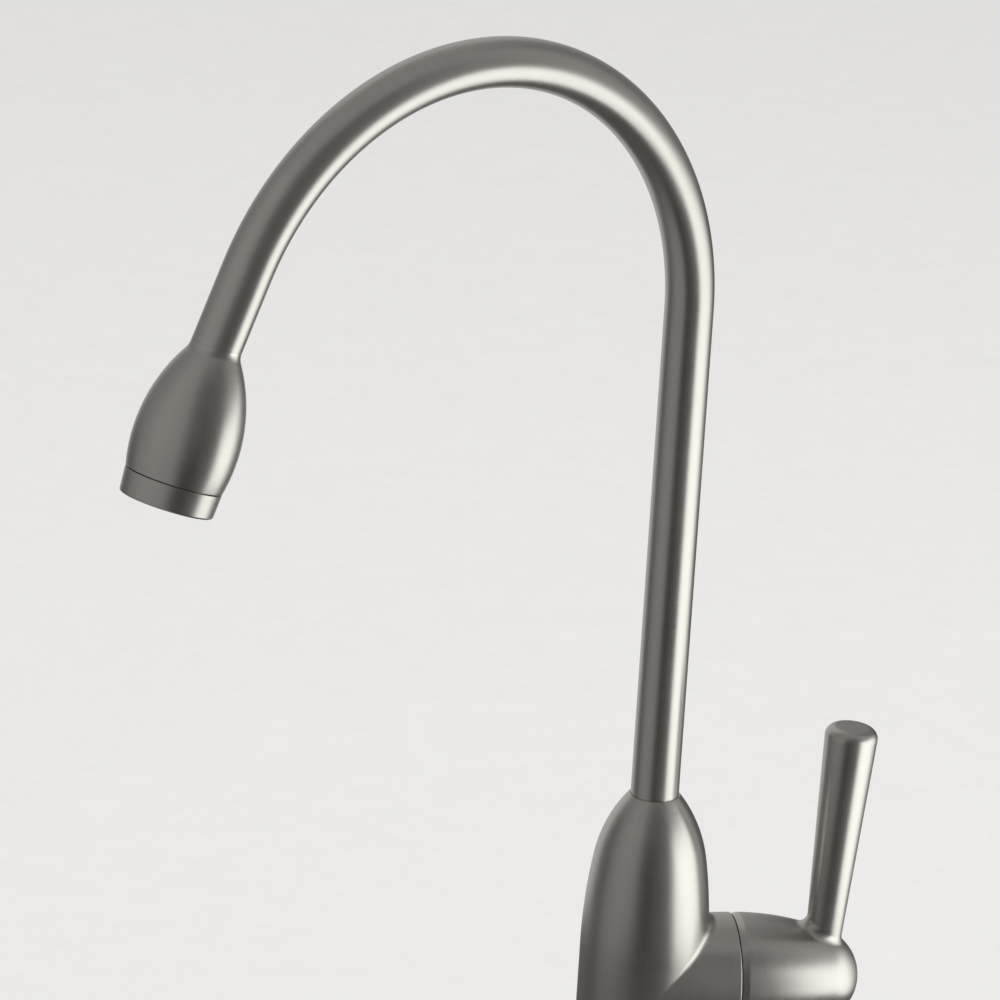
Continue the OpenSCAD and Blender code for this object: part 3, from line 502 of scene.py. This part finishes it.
def build_spout(material):
    """Swan neck: outside, bore and both end faces of the tube along its axis."""
    skin = Skin()
    segments, riser_rows, bend_rows, leg_rows = 96, 60, 160, 10
    a = np.linspace(0, 2 * math.pi, segments + 1)
    bend_p, bend_d, bend_n = along_spout(np.linspace(0, BEND_SWEEP, bend_rows))
    axis = [(Z * z, Z, OUT) for z in np.linspace(TUBE_FOOT, BEND_Z, riser_rows)[:-1]]
    axis += list(zip(bend_p, bend_d, bend_n))
    leg = np.linspace(0, LEG + NECK_LAP, leg_rows)[1:]
    axis += [(end_point + q * end_dir, end_dir, end_side) for q in leg]
    centre, d, n = (np.array(v) for v in zip(*axis))
    b = np.cross(d, n)
    run = np.concatenate([[0], np.cumsum(np.linalg.norm(np.diff(centre, axis=0), axis=1))])
    around = np.cos(a)[None, :, None] * n[:, None, :] + np.sin(a)[None, :, None] * b[:, None, :]
    grain = np.stack(np.broadcast_arrays(run[:, None], a[None] * SPOUT_R), axis=-1)
    skin.grid(centre[:, None] + SPOUT_R * around, around, grain)
    skin.grid(centre[:, None] + SPOUT_BORE_R * around, -around, grain, flip=True)
    for k, flip in ((0, True), (-1, False)):
        ring = np.stack([centre[k] + r * around[k] for r in (SPOUT_R, SPOUT_BORE_R)])
        facing = np.broadcast_to(-d[k] if flip else d[k], ring.shape)
        skin.grid(ring, facing, np.stack([grain[k], grain[k] + SPOUT_R - SPOUT_BORE_R]), flip=flip)
    skin.build("spout_skin", "spout", material, ["spout_tube"])


# Outlet
bell_step = SPOUT_R + BELL_FILLET - BELL_R
BELL_ARC_R = (bell_step ** 2 + BELL_WIDE_AT ** 2 - BELL_FILLET ** 2) / (2 * (BELL_FILLET - bell_step))
BELL_ARC_CENTRE = np.array([BELL_R - BELL_ARC_R, BELL_WIDE_AT])
BELL_END_R = BELL_ARC_CENTRE[0] + math.sqrt(BELL_ARC_R ** 2 - (BELL_LEN - BELL_WIDE_AT) ** 2)


def build_bell(material):
    """Bulb-shaped outlet, blended into the tube where a ball rolls round the neck."""
    skin = Skin()
    arc_r, arc_centre = BELL_ARC_R, BELL_ARC_CENTRE
    turns, steps, rows = 144, 10, 60
    blend_run = 2.0
    psi = np.linspace(0, 2 * math.pi, turns + 1)
    ones = np.ones(turns + 1)
    on_tube = TUBE_END.direction(psi)

    def ball(q):
        return TUBE_END.point((SPOUT_R + BELL_FILLET) * ones, -q, psi)

    def meridian(p):
        radius, t, angle = OUTLET.measure(p)
        v = np.stack([radius, t], axis=-1) - arc_centre
        d = np.linalg.norm(v, axis=-1)
        return d, v / d[..., None], angle

    q = solve(lambda s: meridian(ball(s))[0] - arc_r - BELL_FILLET, -6, 12, turns + 1)
    centre = ball(q)
    _, v, omega = meridian(centre)
    on_bell = OUTLET.normal(v[:, 0], v[:, 1], omega)
    n = between(on_tube, on_bell, steps)
    blend = centre[None] - BELL_FILLET * n
    run = np.linspace(-blend_run, 0, steps)[:, None] * np.ones((1, turns + 1))
    skin.grid(blend, n, np.stack([run, psi * SPOUT_R * np.ones_like(run)], axis=-1))
    # Bulge from the blend to the rounded edge at the seam
    end_angle = math.asin((BELL_LEN - BELL_EDGE - BELL_WIDE_AT) / (arc_r - BELL_EDGE))
    t = np.linspace(0, 1, rows)[:, None]
    omega = np.unwrap(omega)
    first = np.arctan2(v[:, 1], v[:, 0])
    at = first[None] + t * (end_angle - first[None])
    radius, height = arc_centre[0] + arc_r * np.cos(at), arc_centre[1] + arc_r * np.sin(at)
    turn = omega * np.ones_like(at)
    skin.grid(OUTLET.point(radius, height, turn), OUTLET.normal(np.cos(at), np.sin(at), turn),
              np.stack([at * arc_r, turn * BELL_R], axis=-1))
    edge_centre = arc_centre + (arc_r - BELL_EDGE) * np.array([math.cos(end_angle), math.sin(end_angle)])
    for p, facing in [
        arc(edge_centre, BELL_EDGE, end_angle, math.pi / 2, 5),
        line((edge_centre[0], BELL_LEN), (BELL_THREAD_R, BELL_LEN)),
        line((BELL_THREAD_R, BELL_LEN), (BELL_THREAD_R, BELL_THREAD_FROM)),
        line((BELL_THREAD_R, BELL_THREAD_FROM), (BELL_ROOM_R, BELL_THREAD_FROM)),
        line((BELL_ROOM_R, BELL_THREAD_FROM), (BELL_ROOM_R, BELL_ROOM_FROM)),
        line((BELL_ROOM_R, BELL_ROOM_FROM), (BELL_NECK_R, BELL_NECK_FROM)),
    ]:
        one = np.ones((len(p), len(omega)))
        skin.grid(OUTLET.point(p[:, :1] * one, p[:, 1:] * one, omega * one),
                  OUTLET.normal(facing[:, :1] * one, facing[:, 1:] * one, omega * one),
                  np.stack([p[:, 1:] * one, omega * one * BELL_R], axis=-1))
    room = OUTLET.point(BELL_NECK_R * ones, BELL_NECK_FROM * ones, omega)
    neck = np.stack([room, blend[0]])
    skin.grid(neck, np.broadcast_to(-on_tube, neck.shape),
              np.stack(np.broadcast_arrays(run[:2], psi * SPOUT_R), axis=-1))
    skin.build("bell_skin", "spout", material, ["outlet_bell"])


def build_ring(material):
    """Aerator ring: spigot in the bell, tapered outside, and the lip that holds the insert."""
    skin = Skin()
    end = RING_TOP + RING_LEN
    taper = math.atan2(RING_MOUTH_R - BELL_END_R, RING_LEN)
    low = np.array([BELL_END_R - BELL_EDGE, RING_TOP + BELL_EDGE])
    high = np.array([RING_MOUTH_R - RING_EDGE, end - RING_EDGE])
    out = np.array([math.cos(taper), -math.sin(taper)])
    skin.turn(OUTLET, [
        line((RING_BORE_R, RING_SPIGOT_FROM), (RING_SPIGOT_R, RING_SPIGOT_FROM)),
        line((RING_SPIGOT_R, RING_SPIGOT_FROM), (RING_SPIGOT_R, RING_TOP)),
        line((RING_SPIGOT_R, RING_TOP), (low[0], RING_TOP)),
        arc(low, BELL_EDGE, -math.pi / 2, -taper, 5),
        line(low + BELL_EDGE * out, high + RING_EDGE * out, 8),
        arc(high, RING_EDGE, -taper, math.pi / 2, 8),
        line((high[0], end), (RING_LIP_R, end), 4),
        line((RING_LIP_R, end), (RING_LIP_R, end - RING_LIP)),
        line((RING_LIP_R, end - RING_LIP), (RING_BORE_R, end - RING_LIP)),
        line((RING_BORE_R, end - RING_LIP), (RING_BORE_R, RING_SPIGOT_FROM)),
    ])
    skin.build("ring_skin", "spout", material, ["aerator_ring"])


# Base
def build_flange(material):
    """Base flange with its rounded top edge and the seat that takes the foot of the body."""
    skin = Skin()
    skin.turn(UP, [
        line((FLANGE_HOLE_R, FLANGE_LOW), (FLANGE_R - FLANGE_LOW_EDGE, FLANGE_LOW), 4),
        arc((FLANGE_R - FLANGE_LOW_EDGE, FLANGE_LOW + FLANGE_LOW_EDGE), FLANGE_LOW_EDGE, -math.pi / 2, 0, 5),
        line((FLANGE_R, FLANGE_LOW + FLANGE_LOW_EDGE), (FLANGE_R, FLANGE_TOP - FLANGE_EDGE), 3),
        arc((FLANGE_R - FLANGE_EDGE, FLANGE_TOP - FLANGE_EDGE), FLANGE_EDGE, 0, math.pi / 2, 12),
        line((FLANGE_R - FLANGE_EDGE, FLANGE_TOP), (FLANGE_SEAT_R, FLANGE_TOP), 6),
        line((FLANGE_SEAT_R, FLANGE_TOP), (FLANGE_SEAT_R, BODY_FOOT)),
        line((FLANGE_SEAT_R, BODY_FOOT), (FLANGE_HOLE_R, BODY_FOOT), 3),
        line((FLANGE_HOLE_R, BODY_FOOT), (FLANGE_HOLE_R, FLANGE_LOW)),
    ], 180)
    skin.build("flange_skin", "body", material, ["base_flange"])


def build_shank(material):
    """Shank with its rolled thread, which runs out at both ends."""
    skin = Skin()
    segments = 72
    # Corners of the thread's outline: share of the pitch, and share of the depth
    corners = [(0.0, 0.0), (0.16, 0.0), (0.46, 1.0), (0.70, 1.0), (1.0, 0.0)]
    angle = np.linspace(0, 2 * math.pi * THREAD_TURNS, segments * THREAD_TURNS + 1)
    lead = THREAD_LOW + THREAD_PITCH * angle / (2 * math.pi)
    turns_in = angle / (2 * math.pi)
    depth = THREAD_DEPTH * np.clip(np.minimum(turns_in - 0.5, THREAD_TURNS - 0.5 - turns_in), 0, 1)
    for (at, sunk), (next_at, next_sunk) in zip(corners, corners[1:]):
        height = np.stack([lead + at * THREAD_PITCH, lead + next_at * THREAD_PITCH])
        radius = SHANK_R - np.stack([sunk * depth, next_sunk * depth])
        slope = (radius[1] - radius[0]) / (height[1] - height[0]) * np.ones_like(height)
        turn = angle * np.ones_like(height)
        skin.grid(UP.point(radius, height, turn), UP.normal(np.ones_like(slope), -slope, turn),
                  np.stack([height, turn * SHANK_R], axis=-1))
    # Plain wedges that fill up the first and the last turn
    share = np.array([at for at, _ in corners])[:, None]
    one_turn = np.linspace(0, 2 * math.pi, segments + 1)
    rise = THREAD_PITCH * one_turn / (2 * math.pi)
    thread_top = THREAD_LOW + THREAD_PITCH * (THREAD_TURNS + 1)
    for height in (THREAD_LOW + share * rise, thread_top - (1 - share) * (THREAD_PITCH - rise)):
        ones = np.ones_like(height)
        turn = one_turn * ones
        skin.grid(UP.point(SHANK_R * ones, height, turn), UP.normal(ones, 0 * ones, turn),
                  np.stack([height, turn * SHANK_R], axis=-1))
    skin.turn(UP, [
        line((SHANK_BORE_R, SHANK_END), (SHANK_R, SHANK_END)),
        line((SHANK_R, SHANK_END), (SHANK_R, THREAD_LOW)),
    ], segments)
    skin.turn(UP, [
        line((SHANK_R, thread_top), (SHANK_R, SHANK_TOP)),
        line((SHANK_R, SHANK_TOP), (SHANK_BORE_R, SHANK_TOP)),
        line((SHANK_BORE_R, SHANK_TOP), (SHANK_BORE_R, SHANK_END), 4),
    ], segments)
    skin.build("shank_skin", "body", material, ["threaded_shank"])


# Finishes
STEEL_DARK, STEEL_LIGHT = (0.50, 0.49, 0.465), (0.60, 0.59, 0.56)
BRASS_DARK, BRASS_LIGHT = (0.56, 0.40, 0.16), (0.70, 0.52, 0.24)
# Noise per metre: brushed lines across and along their run, fine specks, and clouds
LINES_ACROSS, LINES_ALONG, FINE_SPECKS = 3200, 90, 2600.0
BRUSHED_CLOUDS, PLAIN_CLOUDS = 45.0, 60.0
BRUSHED_RELIEF, PLAIN_RELIEF = 0.00002, 0.0001
# Rubbed edges: radius of their rounding, and how they change tone and roughness
WEAR_R, WEAR_TONE, WEAR_ROUGH = 0.0004, 1.12, -0.08


def new_material(name):
    """Material with its node tree and its shader."""
    m = bpy.data.materials.new(name)
    m.use_nodes = True
    return m, m.node_tree, m.node_tree.nodes["Principled BSDF"]


def add(tree, kind, inputs=None, **settings):
    """Node with its settings made and its inputs set or linked."""
    node = tree.nodes.new(kind)
    for key, value in settings.items():
        setattr(node, key, value)
    for key, value in (inputs or {}).items():
        if isinstance(value, bpy.types.NodeSocket):
            tree.links.new(value, node.inputs[key])
        else:
            node.inputs[key].default_value = value
    return node


def noise(tree, vector, scale, detail=3.0, roughness=0.55):
    """Noise, which mostly lies between 0.3 and 0.7."""
    return add(tree, "ShaderNodeTexNoise",
               {"Vector": vector, "Scale": scale, "Detail": detail, "Roughness": roughness}).outputs["Fac"]


def ranged(tree, value, low, high, from_low=0.3, from_high=0.7):
    """Value carried over to the range from low to high and held within it."""
    return add(tree, "ShaderNodeMapRange", {"Value": value, "From Min": from_low, "From Max": from_high,
                                            "To Min": low, "To Max": high}).outputs["Result"]


def mixed(tree, factor, a, b):
    """Colour between a and b, each a colour or a node's output."""
    node = add(tree, "ShaderNodeMix", {"Factor": factor}, data_type="RGBA")
    for socket, value in ((node.inputs[6], a), (node.inputs[7], b)):
        if isinstance(value, bpy.types.NodeSocket):
            tree.links.new(value, socket)
        else:
            socket.default_value = (*value, 1)
    return node.outputs[2]


def math_node(tree, operation, *values):
    """Result of one operation on numbers or outputs."""
    return add(tree, "ShaderNodeMath", dict(enumerate(values)), operation=operation).outputs[0]


def shared(tree, a, b, share):
    """Sum of a by its share and b by the rest."""
    part_a = math_node(tree, "MULTIPLY", a, share)
    part_b = math_node(tree, "MULTIPLY", b, 1 - share)
    return math_node(tree, "ADD", part_a, part_b)


def edge_wear(tree, patches):
    """Rubbed edges, broken up by patches: where the rounded-off normal leaves the surface's own."""
    soft = add(tree, "ShaderNodeBevel", {"Radius": WEAR_R}, samples=4).outputs["Normal"]
    own = add(tree, "ShaderNodeNewGeometry").outputs["Normal"]
    along = add(tree, "ShaderNodeVectorMath", {0: soft, 1: own}, operation="DOT_PRODUCT").outputs["Value"]
    return math_node(tree, "MULTIPLY", ranged(tree, along, 1, 0, 0.8, 0.985), ranged(tree, patches, 0.3, 1))


def coloured(tree, shader, tone, patches, colours, rough):
    """Colour by tone and roughness as given, both changed along rubbed edges."""
    wear = edge_wear(tree, patches)
    plain = mixed(tree, ranged(tree, tone, 0, 1), *colours)
    rubbed = [min(1, c * WEAR_TONE) for c in colours[1]]
    tree.links.new(mixed(tree, wear, plain, rubbed), shader.inputs["Base Color"])
    tree.links.new(math_node(tree, "MULTIPLY_ADD", wear, WEAR_ROUGH, rough), shader.inputs["Roughness"])


def bumped(tree, shader, height, strength, distance):
    """Fine relief by a height."""
    bump = add(tree, "ShaderNodeBump", {"Height": height, "Strength": strength, "Distance": distance})
    tree.links.new(bump.outputs["Normal"], shader.inputs["Normal"])


def brushed(name, dark, light, rough, anisotropy):
    """Satin metal with fine lines round the piece, along the second grain coordinate."""
    m, tree, shader = new_material(name)
    grain = add(tree, "ShaderNodeUVMap", uv_map="grain").outputs["UV"]
    place = add(tree, "ShaderNodeTexCoord").outputs["Object"]
    spread = (LINES_ACROSS, LINES_ALONG, 1)
    lines = add(tree, "ShaderNodeMapping", {"Vector": grain, "Scale": spread}).outputs["Vector"]
    streak = noise(tree, lines, 1.0, 5.0, 0.7)
    cloud = noise(tree, place, BRUSHED_CLOUDS, 4.0)
    fine = noise(tree, place, FINE_SPECKS, 2.0)
    clouded = ranged(tree, cloud, rough - 0.03, rough + 0.03)
    satin = math_node(tree, "ADD", ranged(tree, streak, -0.05, 0.05), clouded)
    coloured(tree, shader, shared(tree, streak, cloud, 0.6), cloud, (dark, light), satin)
    height = math_node(tree, "ADD", streak, math_node(tree, "MULTIPLY", fine, 0.5))
    bumped(tree, shader, height, 0.12, BRUSHED_RELIEF)
    tangent = add(tree, "ShaderNodeTangent", direction_type="UV_MAP", uv_map="grain")
    tree.links.new(tangent.outputs["Tangent"], shader.inputs["Tangent"])
    shader.inputs["Metallic"].default_value = 1.0
    shader.inputs["Anisotropic"].default_value = anisotropy
    return m


def grained(name, dark, light, rough, metallic, scale, strength=0.1):
    """Finish without grain coordinates: turned lines on metal, specks on the rest, clouding, rubbed edges."""
    m, tree, shader = new_material(name)
    place = add(tree, "ShaderNodeTexCoord").outputs["Object"]
    where = place
    if metallic:
        part = add(tree, "ShaderNodeSeparateXYZ", {"Vector": place}).outputs
        y_squared = math_node(tree, "MULTIPLY", part["Y"], part["Y"])
        out = math_node(tree, "SQRT", math_node(tree, "MULTIPLY_ADD", part["X"], part["X"], y_squared))
        where = add(tree, "ShaderNodeCombineXYZ", {"X": out, "Y": part["Z"]}).outputs["Vector"]
    speck = noise(tree, where, scale, 3.0)
    cloud = noise(tree, place, PLAIN_CLOUDS, 4.0)
    clouded = ranged(tree, cloud, rough - 0.06, rough + 0.06)
    coloured(tree, shader, shared(tree, speck, cloud, 0.5), cloud, (dark, light), clouded)
    bumped(tree, shader, speck, strength, PLAIN_RELIEF)
    shader.inputs["Metallic"].default_value = metallic
    return m


steel = brushed("satin_steel", STEEL_DARK, STEEL_LIGHT, 0.34, 0.3)
finishes = {
    "brushed_steel": grained("turned_steel", STEEL_DARK, STEEL_LIGHT, 0.34, 1.0, 1800),
    "brass": grained("turned_brass", BRASS_DARK, BRASS_LIGHT, 0.32, 1.0, 1500),
    "plain_steel": grained("zinc_steel", (0.55, 0.55, 0.54), (0.66, 0.66, 0.65), 0.38, 1.0, 1200),
    "rubber": grained("black_rubber", (0.012, 0.012, 0.012), (0.03, 0.03, 0.03), 0.6, 0.0, 900, 0.3),
    "ceramic": grained("white_ceramic", (0.80, 0.79, 0.76), (0.88, 0.87, 0.84), 0.25, 0.0, 700, 0.05),
    "white_plastic": grained("white_plastic", (0.76, 0.76, 0.74), (0.84, 0.84, 0.82), 0.42, 0.0, 900, 0.15),
}
for row in frame["record"]["subparts"]:
    mesh = nodes[row["node"]].data
    mesh.materials.clear()
    mesh.materials.append(finishes[row["material_slot"]])

build_body(steel)
build_handle(steel)
build_spout(steel)
build_bell(steel)
build_ring(steel)
build_flange(steel)
build_shank(brushed("rolled_brass", BRASS_DARK, BRASS_LIGHT, 0.3, 0.2))


# Stage: pale floor, a studio that only reflections see, soft lamps and sky, in metres
FLOOR_Z, FLOOR_REACH = cad_box[0][2] - 0.0005, 30.0
FLOOR_DARK, FLOOR_LIGHT = (0.755, 0.75, 0.745), (0.785, 0.78, 0.775)
# Direction in degrees from the front towards the lever's side, then the wall's level low down and high up
WALL_LEVELS = [
    (-90, 0.27, 0.3), (-70, 0.33, 0.38), (-35, 0.31, 0.34), (-22, 0.06, 0.16), (-2, 0.05, 0.12),
    (4, 0.1, 0.12), (40, 0.14, 0.16), (48, 1.95, 0.22), (66, 1.95, 0.36), (92, 1.85, 0.4),
    (112, 0.5, 0.25), (124, 0.1, 0.18), (150, 0.12, 0.3), (165, 0.62, 0.55), (214, 0.62, 0.55),
    (228, 0.2, 0.28), (240, 0.14, 0.26), (252, 0.13, 0.26), (264, 0.27, 0.3), (270, 0.27, 0.3),
]
WALL_X, WALL_Y, WALL_R, WALL_H, WALL_SIDES = -0.03, -0.015, 0.34, 0.75, 120
# Height at which the wall's low level starts to turn into the high one, and the run of that change
WALL_LOW_H, WALL_CHANGE = 0.26, 0.08
# The studio's own floor: its lift, and the radii between which it rises from a share to the wall's level
STUDIO_LIFT, STUDIO_SHARE, STUDIO_DIM_R, STUDIO_BRIGHT_R = 0.0002, 0.2, 0.12, 0.27
STUDIO_COLOUR, CEILING_LEVEL = (1, 0.99, 0.965, 1), 0.32
# Half width, half depth, height and level of the dark counter that the body mirrors
COUNTER_X, COUNTER_Y, COUNTER_Z, COUNTER_LEVEL = 0.13, 0.165, -0.0004, 0.1
# Name, place, aim, size and power
LAMPS = [
    ("key_lamp", (1.3, -0.9, 1.5), (0, 0, 0.1), 1.2, 11),
    ("fill_lamp", (-1.6, -1.0, 1.3), (0, 0, 0.1), 1.4, 4),
    ("top_lamp", (0.0, 0.5, 2.2), (0, 0.2, 0), 1.6, 9),
]
SKY_COLOUR, SKY_LEVEL = (1, 0.995, 0.99, 1), 0.78
FAR_COLOUR, FAR_LEVEL = (1, 0.99, 0.98, 1), 0.6
# Camera at the photograph's place
CAMERA_PLACE, CAMERA_LENS, CAMERA_SENSOR = (-0.314, -1.461, 0.696), 232.85, 36
AIM, TILT, ROLL = math.radians(10.488), math.radians(19.246), math.radians(3.52)


def stage_mesh(name, points, faces, material):
    """Mesh of the stage, which is no piece of the tap."""
    mesh = bpy.data.meshes.new(name)
    mesh.from_pydata(points, [], faces)
    mesh.materials.append(material)
    obj = bpy.data.objects.new(name, mesh)
    bpy.context.scene.collection.objects.link(obj)
    return obj


def rectangle(half_x, half_y, z):
    """Corners of a level rectangle about the middle."""
    return [(-half_x, -half_y, z), (half_x, -half_y, z), (half_x, half_y, z), (-half_x, half_y, z)]


def build_floor():
    """Plain pale floor, without shine."""
    finish = grained("pale_floor", FLOOR_DARK, FLOOR_LIGHT, 0.8, 0.0, 300, 0.05)
    finish.node_tree.nodes["Principled BSDF"].inputs["Specular IOR Level"].default_value = 0.0
    stage_mesh("floor", rectangle(FLOOR_REACH, FLOOR_REACH, FLOOR_Z), [(0, 1, 2, 3)], finish)


def glow(name, level):
    """Plain light of one level, or of the levels that a node gives."""
    m = bpy.data.materials.new(name)
    m.use_nodes = True
    tree = m.node_tree
    tree.nodes.clear()
    light = add(tree, "ShaderNodeEmission", {"Color": STUDIO_COLOUR})
    out = add(tree, "ShaderNodeOutputMaterial")
    tree.links.new(light.outputs[0], out.inputs["Surface"])
    if callable(level):
        tree.links.new(level(tree), light.inputs["Strength"])
    else:
        light.inputs["Strength"].default_value = level
    return m


def wall_level(tree):
    """Level by direction from a ramp, changing high up and, on the floor, falling towards the middle."""
    place = add(tree, "ShaderNodeTexCoord").outputs["Object"]
    around = add(tree, "ShaderNodeTexGradient", {"Vector": place}, gradient_type="RADIAL").outputs["Fac"]
    ramp = add(tree, "ShaderNodeValToRGB", {"Fac": around})
    stops = ramp.color_ramp.elements
    while len(stops) < len(WALL_LEVELS):
        stops.new(0.5)
    peak = max(low for _, low, _ in WALL_LEVELS)
    for stop, (direction, low, high) in zip(stops, WALL_LEVELS):
        stop.position = (direction + 90) / 360
        stop.color = (low / peak, high / peak, 0, 1)
    levels = add(tree, "ShaderNodeSeparateColor", {"Color": ramp.outputs["Color"]}).outputs
    flat = add(tree, "ShaderNodeVectorMath", {0: place, 1: (1, 1, 0)}, operation="MULTIPLY").outputs["Vector"]
    reach = add(tree, "ShaderNodeVectorMath", {0: flat}, operation="LENGTH").outputs["Value"]
    full = ranged(tree, reach, STUDIO_SHARE * peak, peak, STUDIO_DIM_R, STUDIO_BRIGHT_R)
    height = add(tree, "ShaderNodeSeparateXYZ", {"Vector": place}).outputs["Z"]
    raised = ranged(tree, height, 0, 1, WALL_LOW_H, WALL_LOW_H + WALL_CHANGE)
    level = add(tree, "ShaderNodeMix", {"Factor": raised, "A": levels["Red"], "B": levels["Green"]})
    return math_node(tree, "MULTIPLY", level.outputs["Result"], full)


def studio_sheet(name, points, faces, level, place):
    """Glowing sheet round the tap that only reflections see."""
    obj = stage_mesh(name, points, faces, glow(name, level))
    obj.location = place
    obj.visible_camera = obj.visible_diffuse = obj.visible_transmission = obj.visible_shadow = False


def build_studio():
    """Round wall with its floor and ceiling, and the dark counter under the tap."""
    turn = np.linspace(0, 2 * math.pi, WALL_SIDES + 1)[:-1]
    edge = [(WALL_R * math.sin(a), -WALL_R * math.cos(a)) for a in turn]
    foot = [(x, y, STUDIO_LIFT) for x, y in edge]
    top = [(x, y, WALL_H) for x, y in edge]
    sides = [(i, (i + 1) % WALL_SIDES) for i in range(WALL_SIDES)]
    wall = [(i, j, WALL_SIDES + j, WALL_SIDES + i) for i, j in sides]
    disc = [(2 * WALL_SIDES, i, j) for i, j in sides]
    middle = (WALL_X, WALL_Y, FLOOR_Z)
    studio_sheet("studio_wall", foot + top + [(0, 0, STUDIO_LIFT)], wall + disc, wall_level, middle)
    studio_sheet("studio_ceiling", top, [list(range(WALL_SIDES))], CEILING_LEVEL, middle)
    studio_sheet("studio_counter", rectangle(COUNTER_X, COUNTER_Y, 0), [(0, 1, 2, 3)], COUNTER_LEVEL,
                 (0, 0, COUNTER_Z))


def lamp(name, place, aim, size, power):
    """Round soft lamp that reflections don't see."""
    data = bpy.data.lights.new(name, "AREA")
    data.shape, data.size, data.energy = "DISK", size, power
    obj = bpy.data.objects.new(name, data)
    obj.location = place
    obj.rotation_euler = (Vector(aim) - Vector(place)).to_track_quat("-Z", "Y").to_euler()
    bpy.context.scene.collection.objects.link(obj)
    obj.visible_camera = obj.visible_glossy = False


def build_sky():
    """Even light from all round. Seen past the floor's edge, the sky takes the floor's own far tone."""
    world = bpy.data.worlds.new("studio")
    bpy.context.scene.world = world
    world.use_nodes = True
    tree = world.node_tree
    sky = tree.nodes["Background"]
    sky.inputs["Color"].default_value = SKY_COLOUR
    sky.inputs["Strength"].default_value = SKY_LEVEL
    far = add(tree, "ShaderNodeBackground", {"Color": FAR_COLOUR, "Strength": FAR_LEVEL})
    ray = add(tree, "ShaderNodeLightPath").outputs
    seen = math_node(tree, "MAXIMUM", ray["Is Camera Ray"], ray["Is Glossy Ray"])
    seen = math_node(tree, "MAXIMUM", seen, ray["Is Transmission Ray"])
    both = add(tree, "ShaderNodeMixShader", {0: seen, 1: sky.outputs[0], 2: far.outputs[0]})
    tree.links.new(both.outputs[0], tree.nodes["World Output"].inputs["Surface"])


def build_camera():
    """Camera that looks along its aim, tilted down and rolled."""
    forward = Vector((math.sin(AIM) * math.cos(TILT), math.cos(AIM) * math.cos(TILT), -math.sin(TILT)))
    level = forward.cross(Vector((0, 0, 1))).normalized()
    upright = level.cross(forward)
    right = math.cos(ROLL) * level + math.sin(ROLL) * upright
    top = math.cos(ROLL) * upright - math.sin(ROLL) * level
    data = bpy.data.cameras.new("camera")
    data.sensor_width = CAMERA_SENSOR
    data.lens = CAMERA_LENS
    camera = bpy.data.objects.new("camera", data)
    bpy.context.scene.collection.objects.link(camera)
    turned = Matrix((right, top, -forward)).transposed().to_4x4()
    camera.matrix_world = Matrix.Translation(CAMERA_PLACE) @ turned
    bpy.context.scene.camera = camera


build_floor()
build_studio()
for lamp_row in LAMPS:
    lamp(*lamp_row)
build_sky()
build_camera()
bpy.context.scene.view_settings.view_transform = "Standard"
